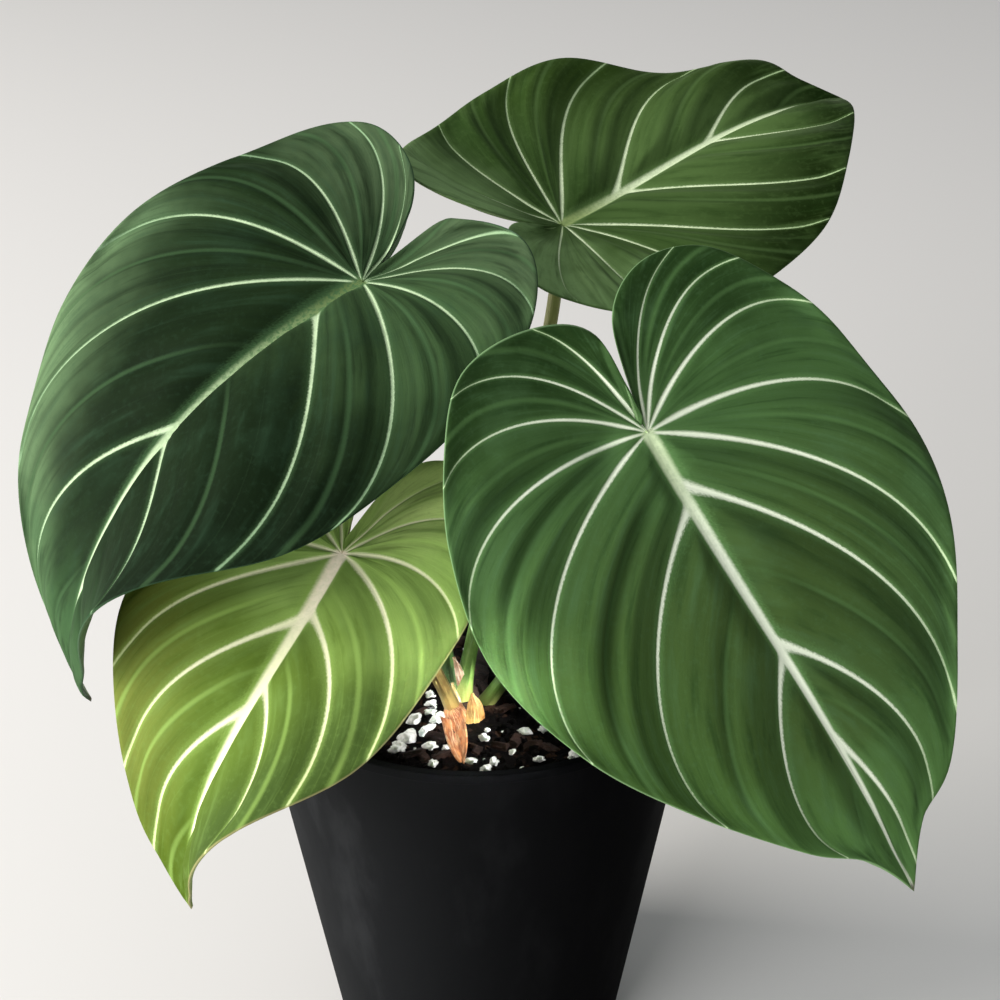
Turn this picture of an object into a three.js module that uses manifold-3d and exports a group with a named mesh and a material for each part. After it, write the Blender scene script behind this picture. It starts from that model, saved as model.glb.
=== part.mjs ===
// Philodendron gloriosum in a plastic pot. Millimetres, +Z up.
// The origin is the centre of the pot's foot, on the surface that it stands on.
// The front of the plant looks along -Y, and +X is to the right of someone who faces it.
import * as THREE from 'three';
import { mergeVertices } from 'three/addons/utils/BufferGeometryUtils.js';
import Module from 'manifold-3d';

const wasm = await Module();
wasm.setup();

// ---------------------------------------------------------------- driving dimensions

const GAP = 0.3; // clearance between pieces that touch or stand in each other

const POT = {
  height: 128,
  lipOuterRadius: 65,
  lipInnerRadius: 62.6,
  lipHeight: 3.4,
  wallTopRadius: 63.8, // outside of the wall, carried up to the rim's level
  taper: 0.1656, // radius lost for each millimetre down
  wall: 1.9,
  floor: 2.6,
  bandHeight: 25, // upper band, down to the faint step
  step: 0.6,
  footHeight: 2,
  footWidth: 4,
  padRadius: 15, // flat middle of the base, level with the foot
  drainHoles: 5,
  drainRadius: 4.5,
  drainCircle: 27,
  segments: 48,
};

const SOIL = {
  level: 118.5,
  swell: 0.9, // height of the slow waves in its surface
  mound: 1.6, // heaped round the rhizome
  moundRadius: 24,
  rings: 7,
  segments: 48,
};

const CHIPS = { count: 54, smallest: 1.3, largest: 2.7, sunk: 0.35, barkEvery: 3 };

// In the open place before the stalks each lump of perlite is set by hand: x, y and size.
const OPEN_PLACE = { left: -26, right: 24, back: -13 };
const OPEN_LUMPS = [
  [-12.5, -16.2, 1.2],
  [-11.9, -20.8, 1.2],
  [-16.2, -28.2, 1.7],
  [-9.9, -27.6, 1.7],
  [-12.9, -32.6, 1.2],
  [-18, -37.1, 2.3],
  [-20.4, -41.2, 1.6],
  [-11.9, -39.9, 1.4],
  [-7.4, -40.6, 1.1],
  [-10.9, -47.1, 1.2],
  [-0.9, -46, 1],
  [5, -46.2, 1.3],
  [2.7, -49.4, 1.2],
  [2.4, -34.9, 1.2],
  [13.3, -31.8, 1.1],
  [18.2, -30.9, 1],
  [9.8, -41, 0.9],
  [17.1, -44.6, 1.1],
];

// The creeping stem lies half buried, from the growing tip in front to the blunt old end.
const RHIZOME = {
  route: [
    [-4, -31, 114.5],
    [-3, -22, 115.3],
    [-1, -8, 117],
    [1, 6, 117.5],
    [3, 21, 116.5],
  ],
  tipRadius: 3.4,
  radius: 5.4,
  ringSpacing: 7,
  ringSwell: 0.35,
  steps: 28,
  sides: 10,
};

const ROOTS = {
  radius: 1.3,
  tipRadius: 0.8,
  depth: 52,
  reach: 22,
  starts: [0.22, 0.4, 0.58, 0.76], // along the rhizome
  steps: 8,
  sides: 5,
};

const PETIOLE = { baseRadius: 2.5, middleRadius: 1.95, topRadius: 1.75, steps: 18, sides: 8 };

const BLADE = {
  thickness: 0.8,
  rows: 30, // from the sinus round the lobe to the tip
  lobeRows: 19, // the rows that start at the petiole
  columns: 7, // from the rib to the edge
};

// A blade's half outline is given by its distance from the petiole at these angles from the tip.
const OUTLINE_ANGLES = [150, 131, 110, 88, 66, 46, 28, 13, 5, 0];
const SINUS_ANGLE = 166; // of the edge in the cut between the lobes, unless a half has its own
const SINUS_DEPTH = 0.045; // of the blade's length, from the petiole to the cut between the lobes
// A side vein's bow fades beside the cut between the lobes, so that no two veins cross, and at the tip.
const BOW_FADE = { leaving: 0.9, arriving: 40, tip: 0.06 };
const LIFT_PLACES = [0, 0.1, 0.22, 0.35, 0.48, 0.62, 0.76, 0.9, 1]; // along a half outline

// Each leaf: where its petiole meets the blade, how the rib runs from there, and its two halves.
//   heading 0 points to the front and 90 to the right; pitch, roll and the bends are in degrees
//   droop: pitch gained in proportion to the distance along the rib, then to its square, then
//     in the last quarter; lobePitch is the pitch gained back through the lobes
//   bow: how far the side veins lean back where they start, and forward where they end
//   radii: distances of the outline at the SINUS_ANGLE and at the inner OUTLINE_ANGLES
//   fold: how steeply a half rises from the rib; cup: how much it turns on its way to the edge
//   lobe: how far the lobe rises; lifts: how far the edge waves up at the inner LIFT_PLACES
//   veins: where they end along the half outline; ribs: where the last of them leave the rib
const LEAVES = {
  a: {
    junction: [-27.5, -8, 238.5],
    length: 141,
    heading: -54,
    pitch: -16.5,
    roll: 2.5,
    twist: 10.5,
    droop: [-34, -47, -18],
    lobePitch: -12.5,
    turn: [-13.5, -2],
    bow: [20.5, 52],
    left: {
      radii: [23, 29.5, 45, 53, 61, 71.5, 87, 98.5, 115.5, 128.5],
      fold: 13.5,
      cup: -48,
      lobe: 5.5,
      lifts: [4, 0.5, 1, -2.5, -2.5, 6.5, -4],
      veins: [0.175, 0.275, 0.4, 0.56, 0.66, 0.77],
      ribs: [14.5, 60.5],
    },
    right: {
      radii: [25, 36, 46.5, 54, 60.5, 70.5, 87, 96.5, 117, 129.5],
      fold: 29.5,
      cup: -19.5,
      lobe: 10.5,
      lifts: [5, 2.5, -0.5, 1, -2.5, 0.5, -2.5],
      veins: [0.19, 0.25, 0.345, 0.525, 0.76, 0.895],
      ribs: [59],
    },
    petiole: [
      [-5.2, -17, 119],
      [-7.2, -17, 130],
      [-13, -15, 168],
      [-22, -11, 212],
    ],
    color: 0x35573c,
    stemColor: 0x3f5a34,
  },
  b: {
    junction: [24, 33, 238.5],
    length: 117,
    heading: 135.5,
    pitch: 4,
    roll: 5.5,
    twist: -4,
    droop: [38, -55, 2.5],
    lobePitch: -9.5,
    turn: [-6, -17],
    bow: [7, 25.5],
    left: {
      radii: [29.5, 41, 45.5, 47.5, 49.5, 57.5, 71.5, 83, 102, 106],
      fold: 16.5,
      cup: 1,
      lobe: 7,
      lifts: [6, 3, -1, -0.5, 0, -6, 2],
      veins: [0.31, 0.39, 0.54, 0.68, 0.8, 0.915],
      ribs: [21, 58.5],
    },
    right: {
      radii: [29.5, 43, 46, 48.5, 52, 59.5, 72, 84, 99.5, 107.5],
      fold: 10,
      cup: -28.5,
      lobe: -0.5,
      lifts: [9.5, 1, -2, -2, -0.5, 1.5, 3],
      veins: [0.245, 0.355, 0.49, 0.63, 0.725, 0.855],
      ribs: [24.5, 60.5],
    },
    petiole: [
      [-3.2, -19.5, 118.5],
      [-2.3, -17, 128.4],
      [9.6, -5, 177.4],
      [20.4, 15, 216],
    ],
    color: 0x45682f,
    stemColor: 0x86a84c,
  },
  c: {
    junction: [42, -54, 218.5],
    length: 125,
    heading: 48.5,
    pitch: -50,
    roll: 8,
    twist: 0.5,
    droop: [20.5, -29.5, -8.5],
    lobePitch: 12.5,
    turn: [3.5, 10.5],
    bow: [29, 52.5],
    left: {
      radii: [28.5, 42, 50, 53, 60, 70.5, 78.5, 90, 107, 112.5],
      fold: 11.5,
      cup: -1.5,
      lobe: 0.5,
      lifts: [-1, -0.5, 1, -1.5, 3.5, 1, -0.5],
      veins: [0.17, 0.215, 0.285, 0.365, 0.52, 0.695, 0.82, 0.91, 0.975],
      ribs: [14, 57.5, 82.5],
    },
    right: {
      sinus: 170.5,
      radii: [26, 39, 49, 52.5, 59, 70.5, 80.5, 90, 103.5, 111.5],
      fold: -3.5,
      cup: -11.5,
      lobe: 3,
      lifts: [5.5, 1, 0, -0.5, 2, 0.5, 1],
      veins: [0.178, 0.255, 0.34, 0.47, 0.63, 0.775, 0.905],
      ribs: [19.5, 60.5],
    },
    petiole: [
      [1.6, -17.5, 117],
      [5.9, -19, 124],
      [20, -27, 158],
      [34, -42, 198],
    ],
    color: 0x56803f,
    stemColor: 0x46602f,
  },
  d: {
    junction: [-31.5, -56, 187.5],
    length: 100,
    heading: -30,
    pitch: -34,
    roll: 7,
    twist: -4,
    droop: [1.5, -68, -0.5],
    lobePitch: 1.5,
    turn: [-40.5, 11.5],
    bow: [20, 33],
    left: {
      radii: [25, 34, 38.5, 41.5, 44.5, 50, 59.5, 69, 82.5, 91.5],
      fold: 17,
      cup: -29,
      lobe: -3,
      lifts: [0, -1, 0, -0.5, -2, 7, 0],
      veins: [0.215, 0.325, 0.465, 0.605, 0.685, 0.775],
      ribs: [16.5, 37],
    },
    right: {
      radii: [24.5, 34.5, 38.5, 41.5, 44.5, 49.5, 60, 70.5, 84, 91],
      fold: 21,
      cup: -4,
      lobe: 0,
      lifts: [0, 0, -0.5, -0.5, 1.5, 1.5, 1],
      veins: [0.22, 0.34, 0.5, 0.685, 0.81, 0.915],
      ribs: [18.5, 43.5],
    },
    petiole: [
      [-4.6, -26, 118.5],
      [-8.6, -28.6, 131],
      [-16, -36, 153],
      [-25.5, -47.5, 175],
    ],
    color: 0x86a23c,
    stemColor: 0x6d6a33,
  },
};

// Dry sheaths that the leaves grew out of. The front one has fallen forward onto the soil.
const SHEATHS = {
  sheath_front: {
    route: [
      [-6.6, -29.6, 123.3],
      [-5.8, -33, 122.8],
      [-5, -37.4, 122.2],
      [-4.1, -42, 121],
      [-3.3, -47, 119.2],
    ],
    width: 5.4,
    arch: -1.7,
    up: [0.25, -0.35, 0.9],
    color: 0xb4825a,
  },
  sheath_side: {
    route: [
      [0, -26.9, 117.2],
      [-0.1, -27.3, 120],
      [-0.3, -27.2, 123.4],
      [-0.9, -26.2, 126.9],
    ],
    width: 4.6,
    arch: 1.3,
    up: [0.35, -0.93, 0.1],
    color: 0xc79c5e,
  },
};
const SHEATH_THICKNESS = 0.7;
const SHEATH_TIP = { lost: 0.95, power: 4 }; // how much of the width is gone at the tip, and how late
const SHEATH_STEPS = 10;
const SHEATH_SIDES = 6;

// ---------------------------------------------------------------- small helpers

const { degToRad, lerp, clamp, radToDeg } = THREE.MathUtils;
const vector = ([x, y, z]) => new THREE.Vector3(x, y, z);
const smoothCurve = (points) => new THREE.CatmullRomCurve3(points.map(vector), false, 'centripetal');

/** A repeatable number from 0 to 1 for each index and channel. */
function scatter(index, channel) {
  const value = Math.sin(index * 12.9898 + channel * 78.233) * 43758.5453;
  return value - Math.floor(value);
}

/** Straight lines between (places, values). */
function alongTable(place, places, values) {
  let next = 1;
  while (next < places.length - 1 && place > places[next]) next += 1;
  const share = (place - places[next - 1]) / (places[next] - places[next - 1]);
  return lerp(values[next - 1], values[next], clamp(share, 0, 1));
}

/** A smooth curve through (places, values), which rests on the neighbours' slopes. */
function alongSmoothTable(place, places, values) {
  const last = places.length - 1;
  const step = places.map((p, i) => (i < last ? places[i + 1] - p : 0));
  const slope = values.map((v, i) => (i < last ? (values[i + 1] - v) / step[i] : 0));
  const tangent = values.map((_, i) => {
    if (i === 0) return slope[0];
    if (i === last) return slope[last - 1];
    return (slope[i - 1] * step[i] + slope[i] * step[i - 1]) / (step[i] + step[i - 1]);
  });
  let i = 0;
  while (i < last - 1 && place > places[i + 1]) i += 1;
  const t = (place - places[i]) / step[i];
  const s = 1 - t;
  return (
    values[i] * (1 + 2 * t) * s * s +
    tangent[i] * step[i] * t * s * s +
    values[i + 1] * t * t * (3 - 2 * t) -
    tangent[i + 1] * step[i] * t * t * s
  );
}

/** Turns a closed geometry into a solid. */
function toSolid(geometry) {
  const bare = geometry.clone();
  bare.deleteAttribute('normal');
  bare.deleteAttribute('uv');
  const merged = mergeVertices(bare, 1e-3);
  const index = Array.from(merged.index.array);
  const kept = [];
  for (let i = 0; i < index.length; i += 3) {
    const [a, b, c] = index.slice(i, i + 3);
    if (a !== b && b !== c && c !== a) kept.push(a, b, c);
  }
  return new wasm.Manifold(
    new wasm.Mesh({
      numProp: 3,
      vertProperties: new Float32Array(merged.attributes.position.array),
      triVerts: new Uint32Array(kept),
    }),
  );
}

/** The largest body of a solid, as a geometry. */
function toGeometry(solid) {
  const bodies = solid.decompose();
  const largest = bodies.reduce((best, body) => (body.volume() > best.volume() ? body : best));
  const mesh = largest.getMesh();
  const geometry = new THREE.BufferGeometry();
  geometry.setAttribute('position', new THREE.BufferAttribute(mesh.vertProperties, 3));
  geometry.setIndex(new THREE.BufferAttribute(mesh.triVerts, 1));
  geometry.computeVertexNormals();
  return geometry;
}

/** A closed round bar whose axis follows a curve; radiusAt gives its radius along the way. */
function bar(curve, radiusAt, steps, sides, extra = 0) {
  const geometry = new THREE.CylinderGeometry(1, 1, 1, sides, steps);
  const frames = curve.computeFrenetFrames(steps, false);
  const position = geometry.attributes.position;
  const point = new THREE.Vector3();
  for (let i = 0; i < position.count; i += 1) {
    const along = position.getY(i) + 0.5;
    const step = Math.round(along * steps);
    const radius = radiusAt(along) + extra;
    const across = position.getX(i) * radius;
    const over = position.getZ(i) * radius;
    curve.getPointAt(along, point);
    point.addScaledVector(frames.binormals[step], across).addScaledVector(frames.normals[step], over);
    position.setXYZ(i, point.x, point.y, point.z);
  }
  return toSolid(geometry);
}

/** Gives a surface of shared points and triangles a thickness, half to each side. */
function thicken(points, triangles, thickness) {
  const normals = points.map(() => new THREE.Vector3());
  const edge = new THREE.Vector3();
  const other = new THREE.Vector3();
  for (const [a, b, c] of triangles) {
    edge.subVectors(points[b], points[a]);
    other.subVectors(points[c], points[a]);
    edge.cross(other);
    [a, b, c].forEach((corner) => normals[corner].add(edge));
  }
  normals.forEach((normal) => normal.normalize().multiplyScalar(thickness / 2));
  const count = points.length;
  const upper = points.map((point, i) => point.clone().add(normals[i]));
  const lower = points.map((point, i) => point.clone().sub(normals[i]));
  const index = [];
  const sides = new Map();
  for (const [a, b, c] of triangles) {
    index.push(a, b, c, count + a, count + c, count + b);
    for (const [from, to] of [[a, b], [b, c], [c, a]]) {
      if (sides.has(`${to} ${from}`)) sides.delete(`${to} ${from}`);
      else sides.set(`${from} ${to}`, [from, to]);
    }
  }
  for (const [from, to] of sides.values()) {
    index.push(from, count + from, count + to, from, count + to, to);
  }
  const geometry = new THREE.BufferGeometry().setFromPoints([...upper, ...lower]);
  geometry.setIndex(index);
  return toSolid(geometry);
}

// ---------------------------------------------------------------- pot

const wallRadius = (z) => POT.wallTopRadius - POT.taper * (POT.height - z);
const innerRadius = (z) => Math.min(POT.lipInnerRadius, wallRadius(z) - POT.step - POT.wall);

function potSolid() {
  const { height, lipHeight, lipOuterRadius, lipInnerRadius, footHeight, footWidth, padRadius, step } = POT;
  const stepLevel = height - POT.bandHeight;
  const lipEdge = lipOuterRadius - 0.8;
  const profile = [
    [wallRadius(0) - step - footWidth, 0],
    [wallRadius(0) - step - 0.5, 0],
    [wallRadius(0) - step, 0.8],
    [wallRadius(stepLevel) - step, stepLevel],
    [wallRadius(stepLevel), stepLevel + 1],
    [wallRadius(height - lipHeight), height - lipHeight],
    [lipOuterRadius, height - lipHeight + 0.6],
    [lipOuterRadius, height - 0.8],
    [lipEdge, height],
    [lipInnerRadius + 0.6, height],
    [lipInnerRadius, height - 0.6],
    [innerRadius(height - lipHeight), height - lipHeight - 2],
    [innerRadius(POT.floor + footHeight), POT.floor + footHeight],
    [0, POT.floor + footHeight],
    [0, 0],
    [padRadius, 0],
    [padRadius + 0.8, footHeight],
    [wallRadius(0) - step - footWidth - 0.8, footHeight],
    [wallRadius(0) - step - footWidth, 0],
  ];
  const shell = new THREE.LatheGeometry(
    profile.map(([r, z]) => new THREE.Vector2(r, z)),
    POT.segments,
  );
  shell.rotateX(Math.PI / 2);
  let pot = toSolid(shell);
  const drain = new THREE.CylinderGeometry(POT.drainRadius, POT.drainRadius, 20, 16);
  drain.rotateX(Math.PI / 2);
  const hole = toSolid(drain);
  for (let i = 0; i < POT.drainHoles; i += 1) {
    const angle = (i / POT.drainHoles) * 2 * Math.PI;
    const place = [POT.drainCircle * Math.cos(angle), POT.drainCircle * Math.sin(angle), 0];
    pot = pot.subtract(hole.translate(place));
  }
  return pot;
}

// ---------------------------------------------------------------- soil

const soilRadius = (z) => innerRadius(z) - GAP;

function soilHeight(x, y) {
  const waves = Math.sin(x / 10 + 0.6) * Math.cos(y / 12 - 0.4);
  const mound = Math.exp(-(x * x + (y + 6) * (y + 6)) / SOIL.moundRadius ** 2);
  return SOIL.level + SOIL.swell * waves + SOIL.mound * mound;
}
function soilSolid() {
  const floor = POT.floor + POT.footHeight + GAP;
  const brim = soilRadius(SOIL.level);
  const profile = [[0, floor], [soilRadius(floor), floor], [brim, SOIL.level]];
  for (let ring = SOIL.rings - 1; ring >= 0; ring -= 1) {
    profile.push([(brim * ring) / SOIL.rings, SOIL.level]);
  }
  const heap = new THREE.LatheGeometry(
    profile.map(([r, z]) => new THREE.Vector2(r, z)),
    SOIL.segments,
  );
  heap.rotateX(Math.PI / 2);
  const position = heap.attributes.position;
  for (let i = 0; i < position.count; i += 1) {
    const [x, y] = [position.getX(i), position.getY(i)];
    const onEdge = Math.hypot(x, y) > brim - 0.5;
    if (position.getZ(i) > SOIL.level - 1e-3 && !onEdge) position.setZ(i, soilHeight(x, y));
  }
  return toSolid(heap);
}

/** One lump, turned at random and sunk into the soil's surface. */
function chipSolid(number, x, y, size, isBark) {
  const lump = isBark
    ? new THREE.BoxGeometry(size * 2.6, size * 1.5, size)
    : new THREE.IcosahedronGeometry(size, 0);
  lump.rotateX(scatter(number, 3) * (isBark ? 0.5 : 3));
  lump.rotateZ(scatter(number, 4) * 2 * Math.PI);
  lump.translate(x, y, soilHeight(x, y) - CHIPS.sunk * size);
  return toSolid(lump);
}

/** Lumps of perlite all over the soil, with bark at every third place, and those of the open place. */
function chipSolids() {
  const reach = soilRadius(SOIL.level) - CHIPS.largest - 1.5;
  const goldenAngle = Math.PI * (3 - Math.sqrt(5));
  const solids = OPEN_LUMPS.map(([x, y, size], i) => chipSolid(i, x, y, size, false));
  for (let i = 0; i < CHIPS.count; i += 1) {
    const radius = reach * Math.sqrt((i + 0.5) / CHIPS.count);
    const angle = i * goldenAngle + 0.4 * scatter(i, 1);
    const [x, y] = [radius * Math.cos(angle), radius * Math.sin(angle)];
    const size = lerp(CHIPS.smallest, CHIPS.largest, scatter(i, 2) ** 2);
    const isOpen = x > OPEN_PLACE.left && x < OPEN_PLACE.right && y < OPEN_PLACE.back;
    if (!isOpen) solids.push(chipSolid(i, x, y, size, i % CHIPS.barkEvery === 0));
  }
  return solids;
}

// ---------------------------------------------------------------- rhizome with its roots

const rhizomeCurve = smoothCurve(RHIZOME.route);

function rhizomeRadius(along) {
  const { tipRadius, radius, ringSpacing, ringSwell } = RHIZOME;
  const growth = Math.min(1, along / 0.2);
  const rings = Math.cos((along * rhizomeCurve.getLength() * 2 * Math.PI) / ringSpacing);
  return lerp(tipRadius, radius, growth) + ringSwell * rings;
}

function rootCurve(number) {
  const start = rhizomeCurve.getPointAt(ROOTS.starts[number]);
  const side = number % 2 === 0 ? -1 : 1;
  const { reach, depth } = ROOTS;
  return new THREE.CatmullRomCurve3([
    start,
    start.clone().add(new THREE.Vector3(side * reach * 0.35, 2, -depth * 0.15)),
    start.clone().add(new THREE.Vector3(side * reach * 0.8, 5, -depth * 0.5)),
    start.clone().add(new THREE.Vector3(side * reach, 3, -depth)),
  ]);
}

function rhizomeSolid(extra = 0) {
  let solid = bar(rhizomeCurve, rhizomeRadius, RHIZOME.steps, RHIZOME.sides, extra);
  ROOTS.starts.forEach((_, number) => {
    const radiusAt = (along) => lerp(ROOTS.radius, ROOTS.tipRadius, along);
    solid = solid.add(bar(rootCurve(number), radiusAt, ROOTS.steps, ROOTS.sides, extra));
  });
  return solid;
}

// ---------------------------------------------------------------- leaves

/** The rib of a blade as points and directions, from behind the lobes to the tip. */
function ribFrames(leaf) {
  const steps = 160;
  const back = -0.6;
  const step = (1 - back) / steps;
  const frames = [];
  const point = new THREE.Vector3();
  let atJunction = null;
  for (let i = 0; i <= steps; i += 1) {
    const x = back + i * step;
    const ahead = Math.max(x, 0);
    const last = 16 * Math.max(x - 0.75, 0) ** 2;
    const [nod, sag, tipSag] = leaf.droop;
    const pitch = degToRad(
      leaf.pitch + nod * ahead + sag * ahead ** 2 + tipSag * last + leaf.lobePitch * Math.max(-x, 0),
    );
    const heading = degToRad(leaf.heading + leaf.turn[0] * ahead + leaf.turn[1] * last);
    const roll = degToRad(leaf.roll + leaf.twist * ahead);
    const tangent = new THREE.Vector3(
      Math.cos(pitch) * Math.sin(heading),
      -Math.cos(pitch) * Math.cos(heading),
      Math.sin(pitch),
    );
    const level = new THREE.Vector3(Math.cos(heading), Math.sin(heading), 0);
    const upright = new THREE.Vector3().crossVectors(tangent, level);
    const left = level.clone().multiplyScalar(Math.cos(roll)).addScaledVector(upright, Math.sin(roll));
    const normal = upright.clone().multiplyScalar(Math.cos(roll)).addScaledVector(level, -Math.sin(roll));
    if (i > 0) {
      const mean = tangent.clone().add(frames[i - 1].tangent).multiplyScalar(0.5);
      point.addScaledVector(mean, step * leaf.length);
    }
    if (!atJunction && x > -step / 2) atJunction = point.clone();
    frames.push({ x, point: point.clone(), tangent, left, normal });
  }
  const shift = vector(leaf.junction).sub(atJunction);
  frames.forEach((frame) => frame.point.add(shift));
  return (u) => {
    const place = clamp((u / leaf.length - back) / step, 0, steps - 1e-6);
    const low = Math.floor(place);
    const share = place - low;
    const between = (name) => frames[low][name].clone().lerp(frames[low + 1][name], share);
    return { point: between('point'), left: between('left'), normal: between('normal') };
  };
}

/** Rises with x from 0, and levels off at 1. */
function levelOff(x) {
  return x / (1 + x ** 4) ** 0.25;
}

/** One half of a blade, laid flat: u runs along the rib from the petiole, v across. */
function flatHalf(leaf, half, side) {
  const radii = [SINUS_DEPTH * leaf.length, ...half.radii, leaf.length];
  const sinus = half.sinus ?? SINUS_ANGLE;
  const angles = [180, sinus, ...OUTLINE_ANGLES];
  const outline = new THREE.SplineCurve(
    radii.map((radius, i) => {
      const angle = degToRad(angles[i]);
      return new THREE.Vector2(radius * Math.cos(angle), side * radius * Math.sin(angle));
    }),
  );
  const petioleVeins = half.veins.length - half.ribs.length;
  const lastFromPetiole = half.veins[petioleVeins - 1];
  const ribPlaces = [0, ...half.ribs, leaf.length];
  const ribEnds = [lastFromPetiole, ...half.veins.slice(petioleVeins), 1];
  const zero = new THREE.Vector2();
  /** The vein line of a row: its end along the outline and a curve from the rib to that end. */
  return (row) => {
    const lobeShare = row / BLADE.lobeRows;
    const ribShare = (row - BLADE.lobeRows) / (BLADE.rows - BLADE.lobeRows);
    const start = new THREE.Vector2(leaf.length * Math.max(ribShare, 0), 0);
    const end = ribShare > 0 ? alongTable(start.x, ribPlaces, ribEnds) : lastFromPetiole * lobeShare;
    const edge = outline.getPointAt(clamp(end, 0, 1));
    const chord = edge.clone().sub(start).multiplyScalar(0.36);
    const fromSinus = Math.max(0, sinus - radToDeg(Math.atan2(Math.abs(edge.y), edge.x)));
    const [leaving, arriving] = leaf.bow;
    const straighten = side * Math.min(1, (1 - end) / BOW_FADE.tip);
    const back = leaving * levelOff((BOW_FADE.leaving * fromSinus) / leaving) * straighten;
    const forward = arriving * levelOff(fromSinus / BOW_FADE.arriving) * straighten;
    const leave = chord.clone().rotateAround(zero, degToRad(back));
    const arrive = chord.clone().rotateAround(zero, -degToRad(forward));
    const line = new THREE.CubicBezierCurve(start, start.clone().add(leave), edge.clone().sub(arrive), edge);
    return { end, line };
  };
}

/** Bends a flat point of a half blade into place. */
function bendPoint(leaf, half, side, ribAt, flat, end, outward) {
  const { point, left, normal } = ribAt(flat.x);
  const across = Math.abs(flat.y);
  const fold = degToRad(half.fold);
  const cup = degToRad(half.cup) / (0.45 * leaf.length);
  const turned = fold + cup * across;
  const sideways = (Math.sin(turned) - Math.sin(fold)) / cup;
  const rise = (Math.cos(fold) - Math.cos(turned)) / cup;
  const wave = alongSmoothTable(end, LIFT_PLACES, [0, ...half.lifts, 0]) * outward ** 2;
  const lobe = half.lobe * (Math.min(flat.x / leaf.length, 0) / 0.35) ** 2;
  return point.addScaledVector(left, side * sideways).addScaledVector(normal, rise + wave + lobe);
}

/** The middle surface of a blade: shared points and the triangles between them. */
function bladeSurface(leaf) {
  const ribAt = ribFrames(leaf);
  const points = [];
  const triangles = [];
  const numbers = new Map();
  const numberOf = (key, makePoint) => {
    if (!numbers.has(key)) {
      numbers.set(key, points.length);
      points.push(makePoint());
    }
    return numbers.get(key);
  };
  for (const [name, side] of [['left', 1], ['right', -1]]) {
    const half = leaf[name];
    const lineAt = flatHalf(leaf, half, side);
    const grid = [];
    for (let row = 0; row <= BLADE.rows; row += 1) {
      const { end, line } = lineAt(row);
      grid.push([]);
      for (let column = 0; column <= BLADE.columns; column += 1) {
        const outward = column / BLADE.columns;
        let key = `${name} ${row} ${column}`;
        if (row === BLADE.rows) key = 'tip';
        else if (column === 0) key = `rib ${Math.max(row, BLADE.lobeRows)}`;
        else if (row === 0) key = `sinus ${column}`;
        const flat = line.getPoint(outward);
        const place = () => bendPoint(leaf, half, side, ribAt, flat, end, outward);
        grid[row].push(numberOf(key, place));
      }
    }
    for (let row = 0; row < BLADE.rows; row += 1) {
      for (let column = 0; column < BLADE.columns; column += 1) {
        const [a, b] = [grid[row][column], grid[row + 1][column]];
        const [c, d] = [grid[row + 1][column + 1], grid[row][column + 1]];
        for (const [p, q, r] of [[a, b, c], [a, c, d]]) {
          if (p !== q && q !== r && r !== p) triangles.push(side > 0 ? [p, r, q] : [p, q, r]);
        }
      }
    }
  }
  return { points, triangles };
}

function bladeSolid(leaf, extra = 0) {
  const { points, triangles } = bladeSurface(leaf);
  return thicken(points, triangles, BLADE.thickness + 2 * extra);
}

function petioleSolid(leaf, extra = 0) {
  const curve = smoothCurve([...leaf.petiole, leaf.junction]);
  const { baseRadius, middleRadius, topRadius, steps, sides } = PETIOLE;
  const radiusAt = (along) => alongTable(along, [0, 0.12, 1], [baseRadius, middleRadius, topRadius]);
  return bar(curve, radiusAt, steps, sides, extra);
}

// ---------------------------------------------------------------- sheaths

/** A pointed, arched strip that follows its route and narrows to its tip. */
function sheathSolid(sheath, extra = 0) {
  const curve = smoothCurve(sheath.route);
  const points = [];
  const triangles = [];
  for (let step = 0; step <= SHEATH_STEPS; step += 1) {
    const along = step / SHEATH_STEPS;
    const center = curve.getPointAt(along);
    const tangent = curve.getTangentAt(along);
    const across = new THREE.Vector3().crossVectors(tangent, vector(sheath.up)).normalize();
    const over = new THREE.Vector3().crossVectors(across, tangent);
    const narrowing = 1 - SHEATH_TIP.lost * along ** SHEATH_TIP.power;
    for (let column = 0; column <= SHEATH_SIDES; column += 1) {
      const share = (2 * column) / SHEATH_SIDES - 1;
      const point = center.clone().addScaledVector(across, (share * sheath.width * narrowing) / 2);
      points.push(point.addScaledVector(over, sheath.arch * narrowing * (1 - share * share)));
    }
  }
  const rowLength = SHEATH_SIDES + 1;
  for (let step = 0; step < SHEATH_STEPS; step += 1) {
    for (let column = 0; column < SHEATH_SIDES; column += 1) {
      const a = step * rowLength + column;
      const [b, c, d] = [a + 1, a + rowLength + 1, a + rowLength];
      triangles.push([a, b, c], [a, c, d]);
    }
  }
  return thicken(points, triangles, SHEATH_THICKNESS + 2 * extra);
}

// ---------------------------------------------------------------- the plant in its pot

const plant = new THREE.Group();

function addPiece(name, solid, color, roughness) {
  const material = new THREE.MeshStandardMaterial({ color, roughness, metalness: 0 });
  const mesh = new THREE.Mesh(toGeometry(solid), material);
  mesh.name = name;
  plant.add(mesh);
}

addPiece('pot', potSolid(), 0x1c1d1e, 0.55);

const rhizomeRoom = rhizomeSolid(GAP);
addPiece('rhizome', rhizomeSolid(), 0x6e5836, 0.8);

let soil = soilSolid();
chipSolids().forEach((chip) => {
  soil = soil.add(chip);
});
soil = soil.subtract(rhizomeRoom);

let stemRoom = rhizomeRoom;
for (const [letter, leaf] of Object.entries(LEAVES)) {
  addPiece(`blade_${letter}`, bladeSolid(leaf), leaf.color, 0.6);
  const petiole = petioleSolid(leaf).subtract(stemRoom).subtract(bladeSolid(leaf, GAP));
  addPiece(`petiole_${letter}`, petiole, leaf.stemColor, 0.5);
  soil = soil.subtract(petioleSolid(leaf, GAP));
  stemRoom = stemRoom.add(petioleSolid(leaf, GAP));
}

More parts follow.
